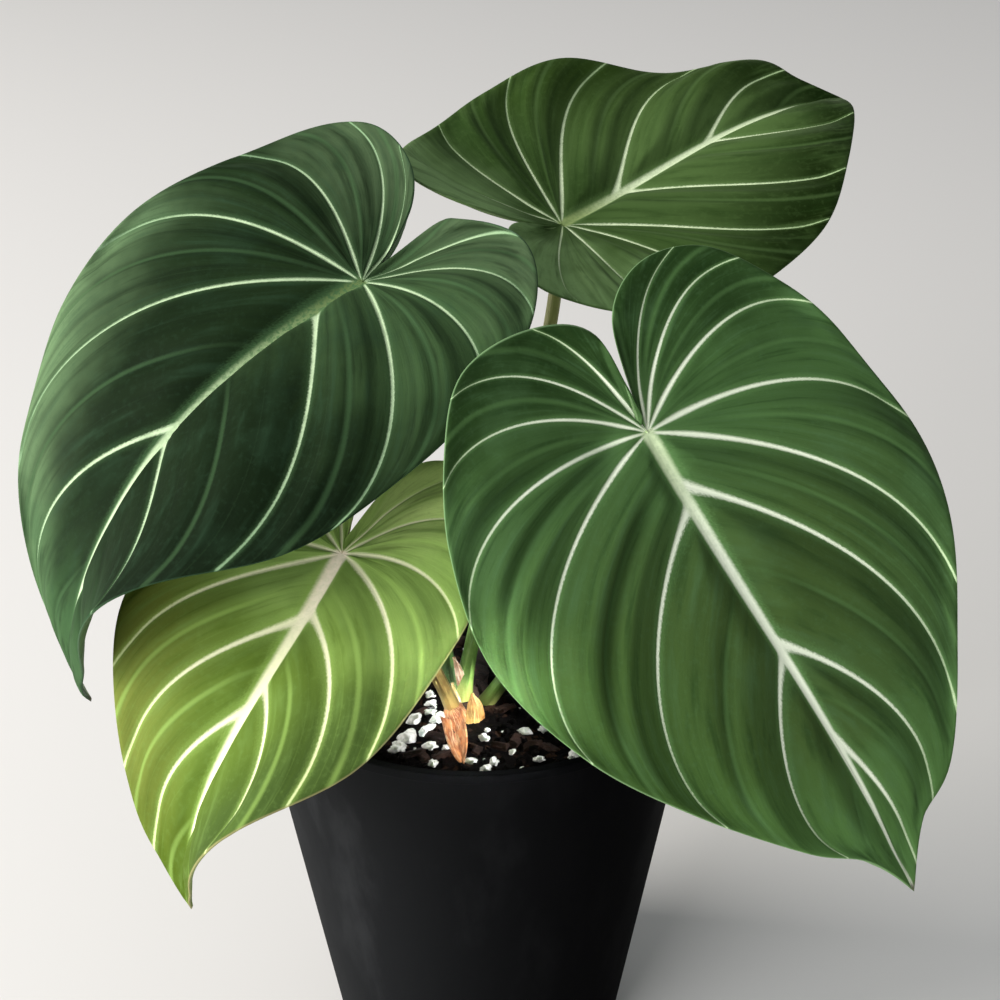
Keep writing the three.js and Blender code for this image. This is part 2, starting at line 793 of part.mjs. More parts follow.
for (const [name, sheath] of Object.entries(SHEATHS)) {
  addPiece(name, sheathSolid(sheath).subtract(stemRoom), sheath.color, 0.7);
  soil = soil.subtract(sheathSolid(sheath, GAP));
}

addPiece('soil', soil, 0x17120f, 0.95);

export default plant;
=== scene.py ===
"""A potted Philodendron gloriosum: its leaves, stalks, potting mix and pot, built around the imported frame.

Plans are in millimetres and meshes in metres. +Z is up, the origin is the centre of the pot's foot, and the
front of the plant looks along -Y. A piece's object sits at the origin, with its place in its mesh.
"""

from __future__ import annotations

import logging
import math
import random
from dataclasses import dataclass
from enum import Enum
from typing import Callable, ClassVar, Sequence

import bmesh
import bpy
import numpy as np
from mathutils import Matrix, Vector, noise


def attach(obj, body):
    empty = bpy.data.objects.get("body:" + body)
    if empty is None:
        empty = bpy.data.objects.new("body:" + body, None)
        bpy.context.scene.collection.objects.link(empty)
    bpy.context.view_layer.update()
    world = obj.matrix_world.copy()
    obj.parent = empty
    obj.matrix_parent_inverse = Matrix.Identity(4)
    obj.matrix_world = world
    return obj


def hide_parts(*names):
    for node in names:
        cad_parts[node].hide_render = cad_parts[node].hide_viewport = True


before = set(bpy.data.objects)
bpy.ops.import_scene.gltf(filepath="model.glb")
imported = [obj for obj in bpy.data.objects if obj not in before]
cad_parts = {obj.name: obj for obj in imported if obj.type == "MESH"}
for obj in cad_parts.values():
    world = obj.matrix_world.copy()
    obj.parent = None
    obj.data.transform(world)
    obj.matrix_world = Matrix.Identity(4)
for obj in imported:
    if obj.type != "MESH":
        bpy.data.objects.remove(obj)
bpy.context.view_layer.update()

MM = 0.001
WELD = 0.002  # mm: vertices closer than this are one
FAR = 99.0  # stands for any distance that is out of reach
GRAIN = "Grain"  # UV map of every piece whose pattern follows its surface, in centimetres
log = logging.getLogger("gloriosum")

Point = tuple[float, float, float]
Pair = tuple[float, float]
Place = Callable[[float, float], Vector]
Socket = bpy.types.NodeSocket


class Slot(Enum):
    """The material slots."""

    POT = "pot_plastic"
    SOIL = "soil"
    BARK = "rhizome_bark"
    LEAF_DARK = "leaf_dark"
    LEAF_MID = "leaf_mid"
    LEAF_YOUNG = "leaf_young"
    STALK_GREEN = "stalk_green"
    STALK_BROWN = "stalk_brown"
    SHEATH = "dry_sheath"


class Mark(Enum):
    """What each vertex of a blade remembers of its place on the leaf."""

    VEIN = "vein"  # distance from the nearest side vein, in half widths of that vein
    MINOR = "minor"  # the same for the faint veins between them
    RIB = "rib"  # the same for the midrib
    EDGE = "edge"  # millimetres from the margin
    OUTWARD = "outward"  # 0 at the rib and 1 at the margin
    ALONG = "along"  # 0 at the petiole and 1 at the tip, less than 0 on the lobes
    SIDE = "side"  # 0 on the left half and 1 on the right one; it picks each half's painted light and shade


# ---------------------------------------------------------------- small helpers


def linear(hex_colour: str) -> tuple[float, float, float, float]:
    """Turns a screen colour into the linear one that shaders take.

    Args:
        hex_colour: Six hexadecimal digits.

    Returns:
        Red, green, blue and alpha.
    """
    parts = [int(hex_colour[i : i + 2], 16) / 255 for i in (0, 2, 4)]
    red, green, blue = (((c + 0.055) / 1.055) ** 2.4 if c > 0.04045 else c / 12.92 for c in parts)
    return red, green, blue, 1.0


def smooth(value: np.ndarray | float, start: float, end: float) -> np.ndarray | float:
    """Rises smoothly from 0 at start to 1 at end."""
    share = np.clip((value - start) / (end - start), 0.0, 1.0)
    return share * share * (3 - 2 * share)


def level_off(value: np.ndarray) -> np.ndarray:
    """Rises with a value from 0, and levels off at 1."""
    return value / (1 + value**4) ** 0.25


def scatter(index: int, channel: int) -> float:
    """A repeatable number from 0 to 1 for each index and channel."""
    value = math.sin(index * 12.9898 + channel * 78.233) * 43758.5453
    return value - math.floor(value)


class SmoothPath:
    """A centripetal curve through a few points, travelled at an even pace."""

    SAMPLES = 200

    def __init__(self, points: Sequence[Point]) -> None:
        """Measures the curve.

        Args:
            points: The points that it passes, in millimetres.
        """
        inner = [Vector(p) for p in points]
        self.points = [2 * inner[0] - inner[1], *inner, 2 * inner[-1] - inner[-2]]
        self.spans = len(inner) - 1
        shares = np.linspace(0, 1, self.SAMPLES + 1)
        places = np.array([self._raw(share) for share in shares])
        steps = np.linalg.norm(np.diff(places, axis=0), axis=1)
        self.shares = shares
        self.lengths = np.concatenate([[0.0], np.cumsum(steps)])
        self.length = float(self.lengths[-1])

    def _raw(self, share: float) -> Vector:
        """Finds a point by its share of the spans.

        Args:
            share: 0 at the first point and 1 at the last one.

        Returns:
            The point.
        """
        span = min(int(share * self.spans), self.spans - 1)
        t = share * self.spans - span
        p0, p1, p2, p3 = self.points[span : span + 4]
        d0, d1, d2 = (math.sqrt((b - a).length) for a, b in ((p0, p1), (p1, p2), (p2, p3)))
        leave = ((p1 - p0) / d0 - (p2 - p0) / (d0 + d1) + (p2 - p1) / d1) * d1
        arrive = ((p2 - p1) / d1 - (p3 - p1) / (d1 + d2) + (p3 - p2) / d2) * d1
        bend = (-3 * p1 + 3 * p2 - 2 * leave - arrive) * t * t + (2 * p1 - 2 * p2 + leave + arrive) * t**3
        return p1 + leave * t + bend

    def at(self, along: float) -> Vector:
        """The point at a share of the length."""
        return self._raw(float(np.interp(along * self.length, self.lengths, self.shares)))

    def direction(self, along: float) -> Vector:
        """The direction of travel at a share of the length."""
        near = 0.004
        return (self.at(min(1.0, along + near)) - self.at(max(0.0, along - near))).normalized()


def lay_sheet(bm: bmesh.types.BMesh, size: tuple[int, int], place: Place, grain: Pair) -> None:
    """Adds a grid and moves its vertices into place.

    Args:
        bm: The mesh that takes the sheet.
        size: Cells across and along.
        place: Gives the place, in millimetres, for shares across and along.
        grain: Size of the sheet in its grain, in centimetres.
    """
    uv = bm.loops.layers.uv.get(GRAIN) or bm.loops.layers.uv.new(GRAIN)
    verts = bmesh.ops.create_grid(bm, x_segments=size[0], y_segments=size[1], size=1)["verts"]
    shares = {vert: ((vert.co.x + 1) / 2, (vert.co.y + 1) / 2) for vert in verts}
    for face in {face for vert in verts for face in vert.link_faces}:
        for loop in face.loops:
            across, along = shares[loop.vert]
            loop[uv].uv = (across * grain[0], along * grain[1])
    for vert, (across, along) in shares.items():
        vert.co = place(across, along) * MM


def lay_tube(
    bm: bmesh.types.BMesh,
    path: SmoothPath,
    radius: Callable[[float, float], float],
    size: tuple[int, int],
    level: Vector,
) -> None:
    """Adds a closed tube with rounded ends.

    Args:
        bm: The mesh that takes the tube.
        path: Its axis.
        radius: Gives the radius, in millimetres, for a turn from 0 to 1 and a share along.
        size: Cells round and along.
        level: A direction that the path never takes, which sets where the seam is.
    """
    widest = max(radius(0, share / 10) for share in range(11))

    def place(turn: float, along: float) -> Vector:
        """A place on the skin, for shares round and along."""
        side = path.direction(along).cross(level).normalized()
        over = side.cross(path.direction(along))
        to_end = min(along, 1 - along) * path.length / widest
        rounding = math.sqrt(max(0.0, 1 - (1 - min(1.0, to_end)) ** 2))
        angle = (turn % 1.0) * 2 * math.pi
        outwards = side * math.cos(angle) + over * math.sin(angle)
        return path.at(along) + outwards * radius(turn % 1.0, along) * rounding

    lay_sheet(bm, size, place, (2 * math.pi * widest / 10, path.length / 10))


def mesh_of(name: str, bm: bmesh.types.BMesh) -> bpy.types.Mesh:
    """Turns a finished bmesh into a mesh.

    Args:
        name: The mesh's name.
        bm: The bmesh, which is used up.

    Returns:
        The mesh.
    """
    mesh = bpy.data.meshes.new(name)
    bm.to_mesh(mesh)
    bm.free()
    return mesh


def put_in_scene(name: str, data: bpy.types.ID) -> bpy.types.Object:
    """Makes an object of a mesh, a lamp or a camera, and links it to the scene.

    Args:
        name: The object's name.
        data: What it shows.

    Returns:
        The object, at the origin.
    """
    item = bpy.data.objects.new(name, data)
    bpy.context.scene.collection.objects.link(item)
    return item


def finish_piece(
    name: str,
    bm: bmesh.types.BMesh,
    materials: Sequence[bpy.types.Material],
    slot: Slot | None,
    *nodes: str,
) -> bpy.types.Object:
    """Closes the seams, makes the object, hangs it on the root body and hides the CAD parts that it stands
    for.

    Args:
        name: The piece's name.
        bm: Its mesh, which is used up.
        materials: Its materials, in the order of the faces' indices.
        slot: The slot of its finish, if it has one; not used.
        nodes: The CAD nodes that it stands for.

    Returns:
        The finished object.
    """
    bmesh.ops.remove_doubles(bm, verts=bm.verts[:], dist=WELD * MM)
    bmesh.ops.recalc_face_normals(bm, faces=bm.faces[:])
    if bm.calc_volume(signed=True) < 0:  # a thin shell can come out of that inside out
        bmesh.ops.reverse_faces(bm, faces=bm.faces[:])
    mesh = mesh_of(name, bm)
    mesh.shade_smooth()
    piece = put_in_scene(name, mesh)
    for material in materials:
        mesh.materials.append(material)
    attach(piece, "root")
    if nodes:
        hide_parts(*nodes)
    mesh.calc_loop_triangles()
    log.info("%s: %d triangles", name, len(mesh.loop_triangles))
    return piece


# ---------------------------------------------------------------- finishes


class Shade:
    """A material that is put together node by node."""

    COLOUR_A, COLOUR_B, COLOUR_OUT = 6, 7, 2  # sockets of a Mix node that mixes colours

    def __init__(self, name: str) -> None:
        """Starts a material with a plain shader."""
        self.material = bpy.data.materials.new(name)
        self.material.use_nodes = True
        self.tree = self.material.node_tree
        self.shader = self.tree.nodes["Principled BSDF"]

    def _feed(self, socket: Socket, value: Socket | float | Sequence[float]) -> None:
        """Links a socket or sets its value."""
        if isinstance(value, bpy.types.NodeSocket):
            self.tree.links.new(value, socket)
        else:
            socket.default_value = value

    def set(self, **values: Socket | float | Sequence[float]) -> None:
        """Feeds the shader.

        Args:
            values: Values by their socket's name, in small letters with underscores.
        """
        names = {socket.name.lower().replace(" ", "_"): socket for socket in self.shader.inputs}
        for name, value in values.items():
            self._feed(names[name], value)

    def mark(self, mark: Mark) -> Socket:
        """Reads what the vertices remember.

        Args:
            mark: Which of the marks.

        Returns:
            Its value.
        """
        node = self.tree.nodes.new("ShaderNodeAttribute")
        node.attribute_name = mark.value
        return node.outputs["Fac"]

    def where(self, scale: Point = (1.0, 1.0, 1.0), grain: bool = False) -> Socket:
        """Gives a pattern its coordinates.

        Args:
            scale: How often the pattern repeats along each axis.
            grain: Follows the piece's grain, in centimetres, and not the frame's axes, in metres.

        Returns:
            The scaled coordinates.
        """
        mapping = self.tree.nodes.new("ShaderNodeMapping")
        if grain:
            source = self.tree.nodes.new("ShaderNodeUVMap")
            source.uv_map = GRAIN
            self._feed(mapping.inputs["Vector"], source.outputs["UV"])
        else:
            source = self.tree.nodes.new("ShaderNodeTexCoord")
            self._feed(mapping.inputs["Vector"], source.outputs["Object"])
        mapping.inputs["Scale"].default_value = scale
        return mapping.outputs["Vector"]

    def noise(self, where: Socket, scale: float, detail: float = 2.0, roughness: float = 0.5) -> Socket:
        """Makes a cloudy pattern.

        Args:
            where: Its coordinates.
            scale: How fine it is.
            detail: How many finer patterns lie in it.
            roughness: How strong those are.

        Returns:
            A value from 0 to 1, mostly near the middle.
        """
        node = self.tree.nodes.new("ShaderNodeTexNoise")
        self._feed(node.inputs["Vector"], where)
        node.inputs["Scale"].default_value = scale
        node.inputs["Detail"].default_value = detail
        node.inputs["Roughness"].default_value = roughness
        return node.outputs["Fac"]

    def cells(self, where: Socket, scale: float) -> tuple[Socket, Socket]:
        """Makes a pattern of random cells.

        Args:
            where: Its coordinates.
            scale: How fine it is.

        Returns:
            The distance from a cell's middle, and a random colour for each cell.
        """
        node = self.tree.nodes.new("ShaderNodeTexVoronoi")
        self._feed(node.inputs["Vector"], where)
        node.inputs["Scale"].default_value = scale
        return node.outputs["Distance"], node.outputs["Color"]

    def part(self, whole: Socket, kind: str, name: str) -> Socket:
        """Takes one part of a colour or of coordinates.

        Args:
            whole: The colour or coordinates.
            kind: Color or XYZ.
            name: Which part.

        Returns:
            The part.
        """
        node = self.tree.nodes.new(f"ShaderNodeSeparate{kind}")
        self._feed(node.inputs[0], whole)
        return node.outputs[name]

    def math(self, operation: str, first: Socket | float, second: Socket | float = 0.0) -> Socket:
        """Takes one step of arithmetic.

        Args:
            operation: Its name.
            first: What it starts from.
            second: What is added, taken away or multiplied by.

        Returns:
            The result.
        """
        node = self.tree.nodes.new("ShaderNodeMath")
        node.operation = operation
        self._feed(node.inputs[0], first)
        self._feed(node.inputs[1], second)
        return node.outputs[0]

    def fade(self, value: Socket, start: float, end: float, low: float = 0.0, high: float = 1.0) -> Socket:
        """Turns one value smoothly into another.

        Args:
            value: What is read.
            start: Where the change starts.
            end: Where it ends.
            low: The result up to start.
            high: The result from end on.

        Returns:
            The result.
        """
        node = self.tree.nodes.new("ShaderNodeMapRange")
        node.interpolation_type = "SMOOTHSTEP"
        for name, number in (("From Min", start), ("From Max", end), ("To Min", low), ("To Max", high)):
            node.inputs[name].default_value = number
        self._feed(node.inputs["Value"], value)
        return node.outputs["Result"]

    def mix(self, share: Socket | float, first: Socket | str, second: Socket | str) -> Socket:
        """Mixes two colours.

        Args:
            share: 0 for the first and 1 for the second.
            first: A colour or its hexadecimal digits.
            second: The other one.

        Returns:
            The mixed colour.
        """
        node = self.tree.nodes.new("ShaderNodeMix")
        node.data_type = "RGBA"
        self._feed(node.inputs["Factor"], share)
        self._feed(node.inputs[self.COLOUR_A], linear(first) if isinstance(first, str) else first)
        self._feed(node.inputs[self.COLOUR_B], linear(second) if isinstance(second, str) else second)
        return node.outputs[self.COLOUR_OUT]

    def over(self, colour: Socket | str, layer: Socket | str, value: Socket, *span: float) -> Socket:
        """Lays a second colour over the first where a value says so.

        Args:
            colour: The first colour.
            layer: The second one.
            value: What decides.
            span: Start, end, low and high, as fade takes them.

        Returns:
            The mixed colour.
        """
        return self.mix(self.fade(value, *span), colour, layer)

    def bump(self, height: Socket, depth: float, strength: float = 1.0) -> None:
        """Raises the surface, over what was raised before.

        Args:
            height: Where it is raised, from 0 to 1.
            depth: How far, in millimetres.
            strength: How much of it shows.
        """
        node = self.tree.nodes.new("ShaderNodeBump")
        node.inputs["Distance"].default_value = depth * MM
        node.inputs["Strength"].default_value = strength
        self._feed(node.inputs["Height"], height)
        normal = self.shader.inputs["Normal"]
        if normal.is_linked:
            self._feed(node.inputs["Normal"], normal.links[0].from_socket)
        self._feed(normal, node.outputs["Normal"])


@dataclass(frozen=True)
class LeafFinish:
    """The velvet upper side of a blade and its paler underside."""

    name: str
    slot: Slot
    inner: str  # green beside the rib
    outer_greens_and_painted_light: tuple[str, str]  # green towards the margin of the left half and of the right one; the difference between them is painted light and shade
    base_greens_and_painted_light: tuple[str, str]  # green round the petiole of the left half and of the right one; the difference between them is painted light and shade
    lobe: str  # green of the lobes; on the olive and the young leaf it is paler, partly as painted light
    shadow: str  # its darker streaks, and the painted shade along the faint veins
    lit: str  # its paler streaks
    vein: str  # where a vein is strongest
    vein_end: str  # near the margin
    knot: str  # where the veins meet the petiole
    minor: str  # faint veins and the glow beside the strong ones
    margin: str
    point: str  # green towards the tip
    tip: str
    back: str
    glow: float = 0.35  # how far the green pales beside a vein
    faint: float = 0.6  # how much of the faint veins shows
    sheen: float = 0.1
    sheen_roughness: float = 0.35
    mottle: float = 0.3  # how much green shows in the first part of the rib
    knot_reach: float = 0.3  # how far along the rib the knot's colour goes
    specks: bool = False
    pleat_painted_shade: float = 0.15  # how far painted shade darkens the green along the faint veins, in their pleats
    turning: Pair = (0.15, 0.95)  # where the inner green turns into the outer one
    dull: float = 0.25  # how much green shows in patches of the strong veins

    SPECK: ClassVar[str] = "9fb39a"

    def _veins(self, shade: Shade, green: Socket, faint: float) -> Socket:
        """Draws the veins, the rib and the margin over a green.

        Args:
            shade: The material that they belong to.
            green: The colour between the veins.
            faint: How much of the faint veins shows.

        Returns:
            The whole colour.
        """
        outward, along = shade.mark(Mark.OUTWARD), shade.mark(Mark.ALONG)
        vein, rib = shade.mark(Mark.VEIN), shade.mark(Mark.RIB)
        fray = shade.noise(shade.where((16.0, 7.0, 1.0), grain=True), 2.4, 4.0, 0.65)
        ragged = shade.math("SUBTRACT", fray, 0.5)

        def frayed(distance: Socket, amount: float) -> Socket:
            """A distance whose lines come out ragged."""
            return shade.math("ADD", distance, shade.math("MULTIPLY", ragged, amount))

        minor = shade.fade(frayed(shade.mark(Mark.MINOR), 1.0), 0.2, 2.0, 1.0, 0.0)
        reach = shade.fade(outward, 0.05, 0.4, 0.25 * faint, faint)
        colour = shade.mix(shade.math("MULTIPLY", minor, reach), green, self.minor)
        colour = shade.over(colour, self.minor, frayed(vein, 5.0), 0.4, 5.0, self.glow, 0.0)
        colour = shade.over(colour, self.minor, frayed(rib, 2.2), 0.7, 2.6, 0.7, 0.0)
        patches = shade.noise(shade.where(), 190.0, 3.0, 0.6)
        pale = shade.over(self.vein, self.vein_end, outward, 0.35, 1.0)
        pale = shade.over(pale, self.minor, patches, 0.42, 0.68, 0.0, self.dull)
        colour = shade.over(colour, pale, frayed(vein, 1.7), 0.25, 1.45, 1.0, 0.0)
        pits = shade.fade(shade.noise(shade.where(), 900.0, 3.0, 0.6), 0.45, 0.6)
        pits = shade.math("MULTIPLY", pits, shade.fade(along, 0.05, 0.6, self.mottle, 0.0))
        rib_colour = shade.over(self.vein, self.knot, along, 0.02, self.knot_reach, 1.0, 0.0)
        rib_colour = shade.mix(pits, rib_colour, self.minor)
        colour = shade.over(colour, rib_colour, frayed(rib, 0.5), 0.5, 1.35, 1.0, 0.0)
        colour = shade.over(colour, self.tip, along, 0.975, 0.995, 0.0, 0.9)
        return shade.over(colour, self.margin, shade.mark(Mark.EDGE), 0.1, 0.6, 0.55, 0.0)

    def upper(self) -> bpy.types.Material:
        """Builds the upper side: velvet, with streaks that run beside the veins, painted shade in its
        pleats, and painted light that makes one half paler than the other.

        Returns:
            The material.
        """
        shade = Shade(f"{self.name}_upper")
        outward, side = shade.mark(Mark.OUTWARD), shade.mark(Mark.SIDE)
        streaks = shade.noise(shade.where((2.2, 0.35, 1.0), grain=True), 1.3, 4.0, 0.55)
        clouds = shade.noise(shade.where(), 42.0, 3.0, 0.55)
        wander = shade.math("SUBTRACT", clouds, 0.5)
        outwards = shade.math("ADD", outward, shade.math("MULTIPLY", wander, 0.4))
        place = shade.math("ADD", shade.mark(Mark.ALONG), shade.math("MULTIPLY", wander, 0.3))
        # painted light and shade: each half has its own outer and base green, paler on the half that faces
        # the light
        layers = (
            (shade.mix(side, *self.outer_greens_and_painted_light), outwards, *self.turning),
            (shade.mix(side, *self.base_greens_and_painted_light), place, 0.0, 0.35, 1.0, 0.0),
            (self.lobe, place, -0.22, 0.02, 1.0, 0.0),
            (self.point, place, 0.6, 0.95),
            (self.lit, streaks, 0.5, 0.75, 0.0, 0.4),
            (self.lit, clouds, 0.52, 0.7, 0.0, 0.25),
            (self.shadow, streaks, 0.28, 0.5, 0.5, 0.0),
            # painted shade in the pleats along the faint veins
            (self.shadow, shade.mark(Mark.MINOR), 0.5, 5.0, self.pleat_painted_shade, 0.0),
            (self.lit, shade.noise(shade.where(), 650.0, 3.0, 0.6), 0.5, 0.72, 0.0, 0.15),
        )
        green = self.inner
        for layer, value, *span in layers:
            green = shade.over(green, layer, value, *span)
        if self.specks:
            middle, kind = shade.cells(shade.where(), 120.0)
            chosen = shade.fade(shade.part(kind, "Color", "Red"), 0.9, 0.91)
            dots = shade.math("MULTIPLY", shade.fade(middle, 0.03, 0.07, 1.0, 0.0), chosen)
            green = shade.mix(dots, green, self.SPECK)
        shade.set(base_color=self._veins(shade, green, self.faint))
        shade.set(roughness=shade.fade(clouds, 0.3, 0.7, 0.62, 0.78))
        shade.set(sheen_weight=self.sheen, sheen_roughness=self.sheen_roughness, specular_ior_level=0.03)
        shade.set(sheen_tint=linear(self.vein_end))
        shade.bump(streaks, 0.35, 0.6)
        shade.bump(shade.noise(shade.where(), 1500.0, 2.0), 0.05, 0.5)
        return shade.material

    def under(self) -> bpy.types.Material:
        """Builds the underside: paler and duller, with raised pale veins.

        Returns:
            The material.
        """
        shade = Shade(f"{self.name}_under")
        streaks = shade.noise(shade.where((5.0, 0.5, 1.0), grain=True), 1.4, 3.0)
        green = shade.over(self.back, self.minor, streaks, 0.35, 0.7)
        green = shade.mix(0.45, green, self.back)
        shade.set(base_color=self._veins(shade, green, 0.5 * self.faint))
        shade.set(roughness=shade.fade(streaks, 0.3, 0.7, 0.55, 0.7))
        shade.set(specular_ior_level=0.3)
        shade.bump(streaks, 0.25, 0.6)
        shade.bump(shade.noise(shade.where(), 900.0, 2.0), 0.05, 0.5)
        return shade.material


@dataclass(frozen=True)
class StalkFinish:
    """The skin of a stalk: green or brownish, with fine pale stripes along it."""

    name: str
    slot: Slot
    skin: str
    shadow: str
    stripe: str
    foot: str
    top: str

    def material(self, crown: float) -> bpy.types.Material:
        """Builds the skin.

        Args:
            crown: Height, in millimetres, up to which the foot's colour shows.

        Returns:
            The material.
        """
        shade = Shade(self.name)
        stripes = shade.noise(shade.where((5.0, 0.4, 1.0), grain=True), 3.0, 3.0, 0.6)
        blotches = shade.noise(shade.where(), 160.0, 3.0)
        wander = shade.math("MULTIPLY", blotches, 6 * MM)
        height = shade.math("SUBTRACT", shade.part(shade.where(), "XYZ", "Z"), wander)
        skin = shade.over(self.skin, self.shadow, blotches, 0.35, 0.65)
        skin = shade.over(skin, self.stripe, stripes, 0.52, 0.68, 0.0, 0.55)
        skin = shade.over(skin, self.top, height, (crown + 40) * MM, (crown + 75) * MM, 0.0, 0.8)
        skin = shade.over(skin, self.foot, height, (crown - 9) * MM, (crown + 4) * MM, 0.9, 0.0)
        shade.set(base_color=skin, roughness=shade.fade(blotches, 0.3, 0.7, 0.36, 0.52))
        shade.set(specular_ior_level=0.45)
        shade.bump(stripes, 0.2, 0.7)
        return shade.material


class Finish:
    """The finishes that only one piece has."""

    @staticmethod
    def pot() -> bpy.types.Material:
        """Matte black moulded plastic with faint scuffs, and painted light that makes its left side paler.
        """
        shade = Shade("pot_plastic_black")
        scuffs = shade.noise(shade.where((1.0, 1.0, 0.35)), 42.0, 6.0, 0.65)
        grain = shade.noise(shade.where(), 1300.0, 2.0)
        # painted light: the plastic and its scuffs grow paler towards the left, the side that the window
        # lights
        painted_light_left = shade.fade(shade.part(shade.where(), "XYZ", "X"), -0.06, 0.05, 1.0, 0.0)
        clean, worn = shade.mix(painted_light_left, "010102", "1c1d1e"), shade.mix(painted_light_left, "040405", "2b2c2d")
        colour = shade.over(clean, worn, scuffs, 0.5, 0.75, 0.0, 0.8)
        shade.set(base_color=colour, roughness=shade.fade(scuffs, 0.35, 0.7, 0.62, 0.75))
        shade.set(specular_ior_level=0.01)
        shade.bump(grain, 0.05, 0.5)
        shade.bump(scuffs, 0.15, 0.25)
        return shade.material

    @staticmethod
    def soil() -> bpy.types.Material:
        """Damp, nearly black mix with brown fibres."""
        shade = Shade("potting_mix_dark")
        _, kind = shade.cells(shade.where(), 620.0)
        damp = shade.noise(shade.where(), 90.0, 5.0, 0.65)
        grit = shade.noise(shade.where(), 900.0, 4.0, 0.7)
        colour = shade.over("040303", "0b0807", damp, 0.35, 0.7)
        colour = shade.over(colour, "2c1e16", shade.part(kind, "Color", "Red"), 0.86, 0.94)
        shade.set(base_color=colour, roughness=shade.fade(damp, 0.35, 0.65, 0.78, 0.98))
        shade.set(specular_ior_level=0.05)
        shade.bump(grit, 0.6, 0.9)
        return shade.material

    @staticmethod
    def perlite() -> bpy.types.Material:
        """White, porous, a little dusty."""
        shade = Shade("perlite_white")
        pores, _ = shade.cells(shade.where(), 1500.0)
        dust = shade.noise(shade.where(), 260.0, 4.0, 0.6)
        colour = shade.over("fffdfa", "c4bbae", dust, 0.6, 0.8, 0.0, 0.7)
        colour = shade.over(colour, "8b8173", pores, 0.0, 0.25, 0.25, 0.0)
        shade.set(base_color=colour, roughness=0.92)
        shade.bump(pores, 0.3, 0.9)
        return shade.material

    @staticmethod
    def bark() -> bpy.types.Material:
        """Flakes of brown bark, some reddish."""
        shade = Shade("bark_flakes")
        grain = shade.noise(shade.where((1.0, 3.5, 3.5)), 420.0, 5.0, 0.65)
        patch = shade.noise(shade.where(), 95.0, 2.0)
        colour = shade.over("120a08", "2e1e18", patch, 0.35, 0.65)
        colour = shade.over(colour, "5a4436", grain, 0.55, 0.8)
        shade.set(base_color=colour, roughness=shade.fade(grain, 0.3, 0.7, 0.65, 0.9))
        shade.set(specular_ior_level=0.2)
        shade.bump(grain, 0.5, 0.9)
        return shade.material

    @staticmethod
    def rhizome() -> bpy.types.Material:
        """The dark skin of the creeping stem, with a corky scar at each old leaf."""
        shade = Shade("rhizome_skin")
        rings = shade.noise(shade.where((0.4, 6.0, 1.0), grain=True), 1.6, 4.0, 0.65)
        cork = shade.noise(shade.where(), 420.0, 5.0, 0.65)
        colour = shade.over("1c120d", "38241c", rings, 0.4, 0.62)
        colour = shade.over(colour, "6b4a3c", cork, 0.54, 0.74)
        shade.set(base_color=colour, roughness=shade.fade(cork, 0.3, 0.7, 0.6, 0.88))
        shade.bump(rings, 0.6, 0.8)
        shade.bump(cork, 0.3, 0.8)
        return shade.material

    @staticmethod
    def sheath(name: str, body: str, shadow: str, light: str) -> bpy.types.Material:
        """Thin dry skin with fibres along it.

        Args:
            name: The material's name.
            body: Its main colour.
            shadow: The colour of its darker fibres.
            light: The colour of its bleached fibres and edges.

        Returns:
            The material.
        """
        shade = Shade(name)
        fibres = shade.noise(shade.where((14.0, 0.8, 1.0), grain=True), 2.2, 4.0, 0.6)
        stains = shade.noise(shade.where(), 300.0, 3.0)
        colour = shade.over(body, shadow, stains, 0.38, 0.62)
        colour = shade.over(colour, light, fibres, 0.48, 0.66)
        shade.set(base_color=colour, roughness=shade.fade(fibres, 0.3, 0.7, 0.5, 0.75))
        shade.bump(fibres, 0.35, 0.9)
        return shade.material


# ---------------------------------------------------------------- leaves

OUTLINE_ANGLES = (150, 131, 110, 88, 66, 46, 28, 13, 5, 0)
SINUS_DEPTH = 0.045
LIFT_PLACES = (0, 0.1, 0.22, 0.35, 0.48, 0.62, 0.76, 0.9, 1)


@dataclass(frozen=True)
class Half:
    """One half of a blade: its outline, how it bends, and where its side veins run."""

    radii: Sequence[float]  # of the outline, in the cut between the lobes and at the inner OUTLINE_ANGLES
    fold: float  # degrees by which it rises from the rib
    cup: float  # degrees by which it turns on its way to the margin
    lobe: float  # rise of the lobe
    lifts: Sequence[float]  # waves of the margin, at the inner LIFT_PLACES
    veins: Sequence[float]  # ends of the side veins along the outline
    ribs: Sequence[float]  # where the last of them leave the rib
    sinus: float = 166  # degrees from the tip at which the cut between the lobes runs
    creases: Sequence[float] = ()  # rows that have a deep crease
    vein_share: float = 1.0  # how wide its veins are against the plan's


@dataclass(frozen=True)
class LeafPlan:
    """A whole leaf: its stalk, how its rib runs from the petiole, and its two halves."""

    letter: str
    junction: Point
    length: float
    heading: float
    pitch: float
    roll: float
    twist: float
    droop: Point
    lobe_pitch: float
    turn: Pair
    bow: Pair
    left: Half
    right: Half
    petiole: Sequence[Point]
    vein_width: Pair  # half widths at the rib and at the margin
    rib_width: Pair  # half widths at the petiole and at the tip
    rib_shift: float = 0.0  # how far the rib's pale band leans to the left near the tip
    calm_tip: float = 0.0  # how much less the blade swells near the tip


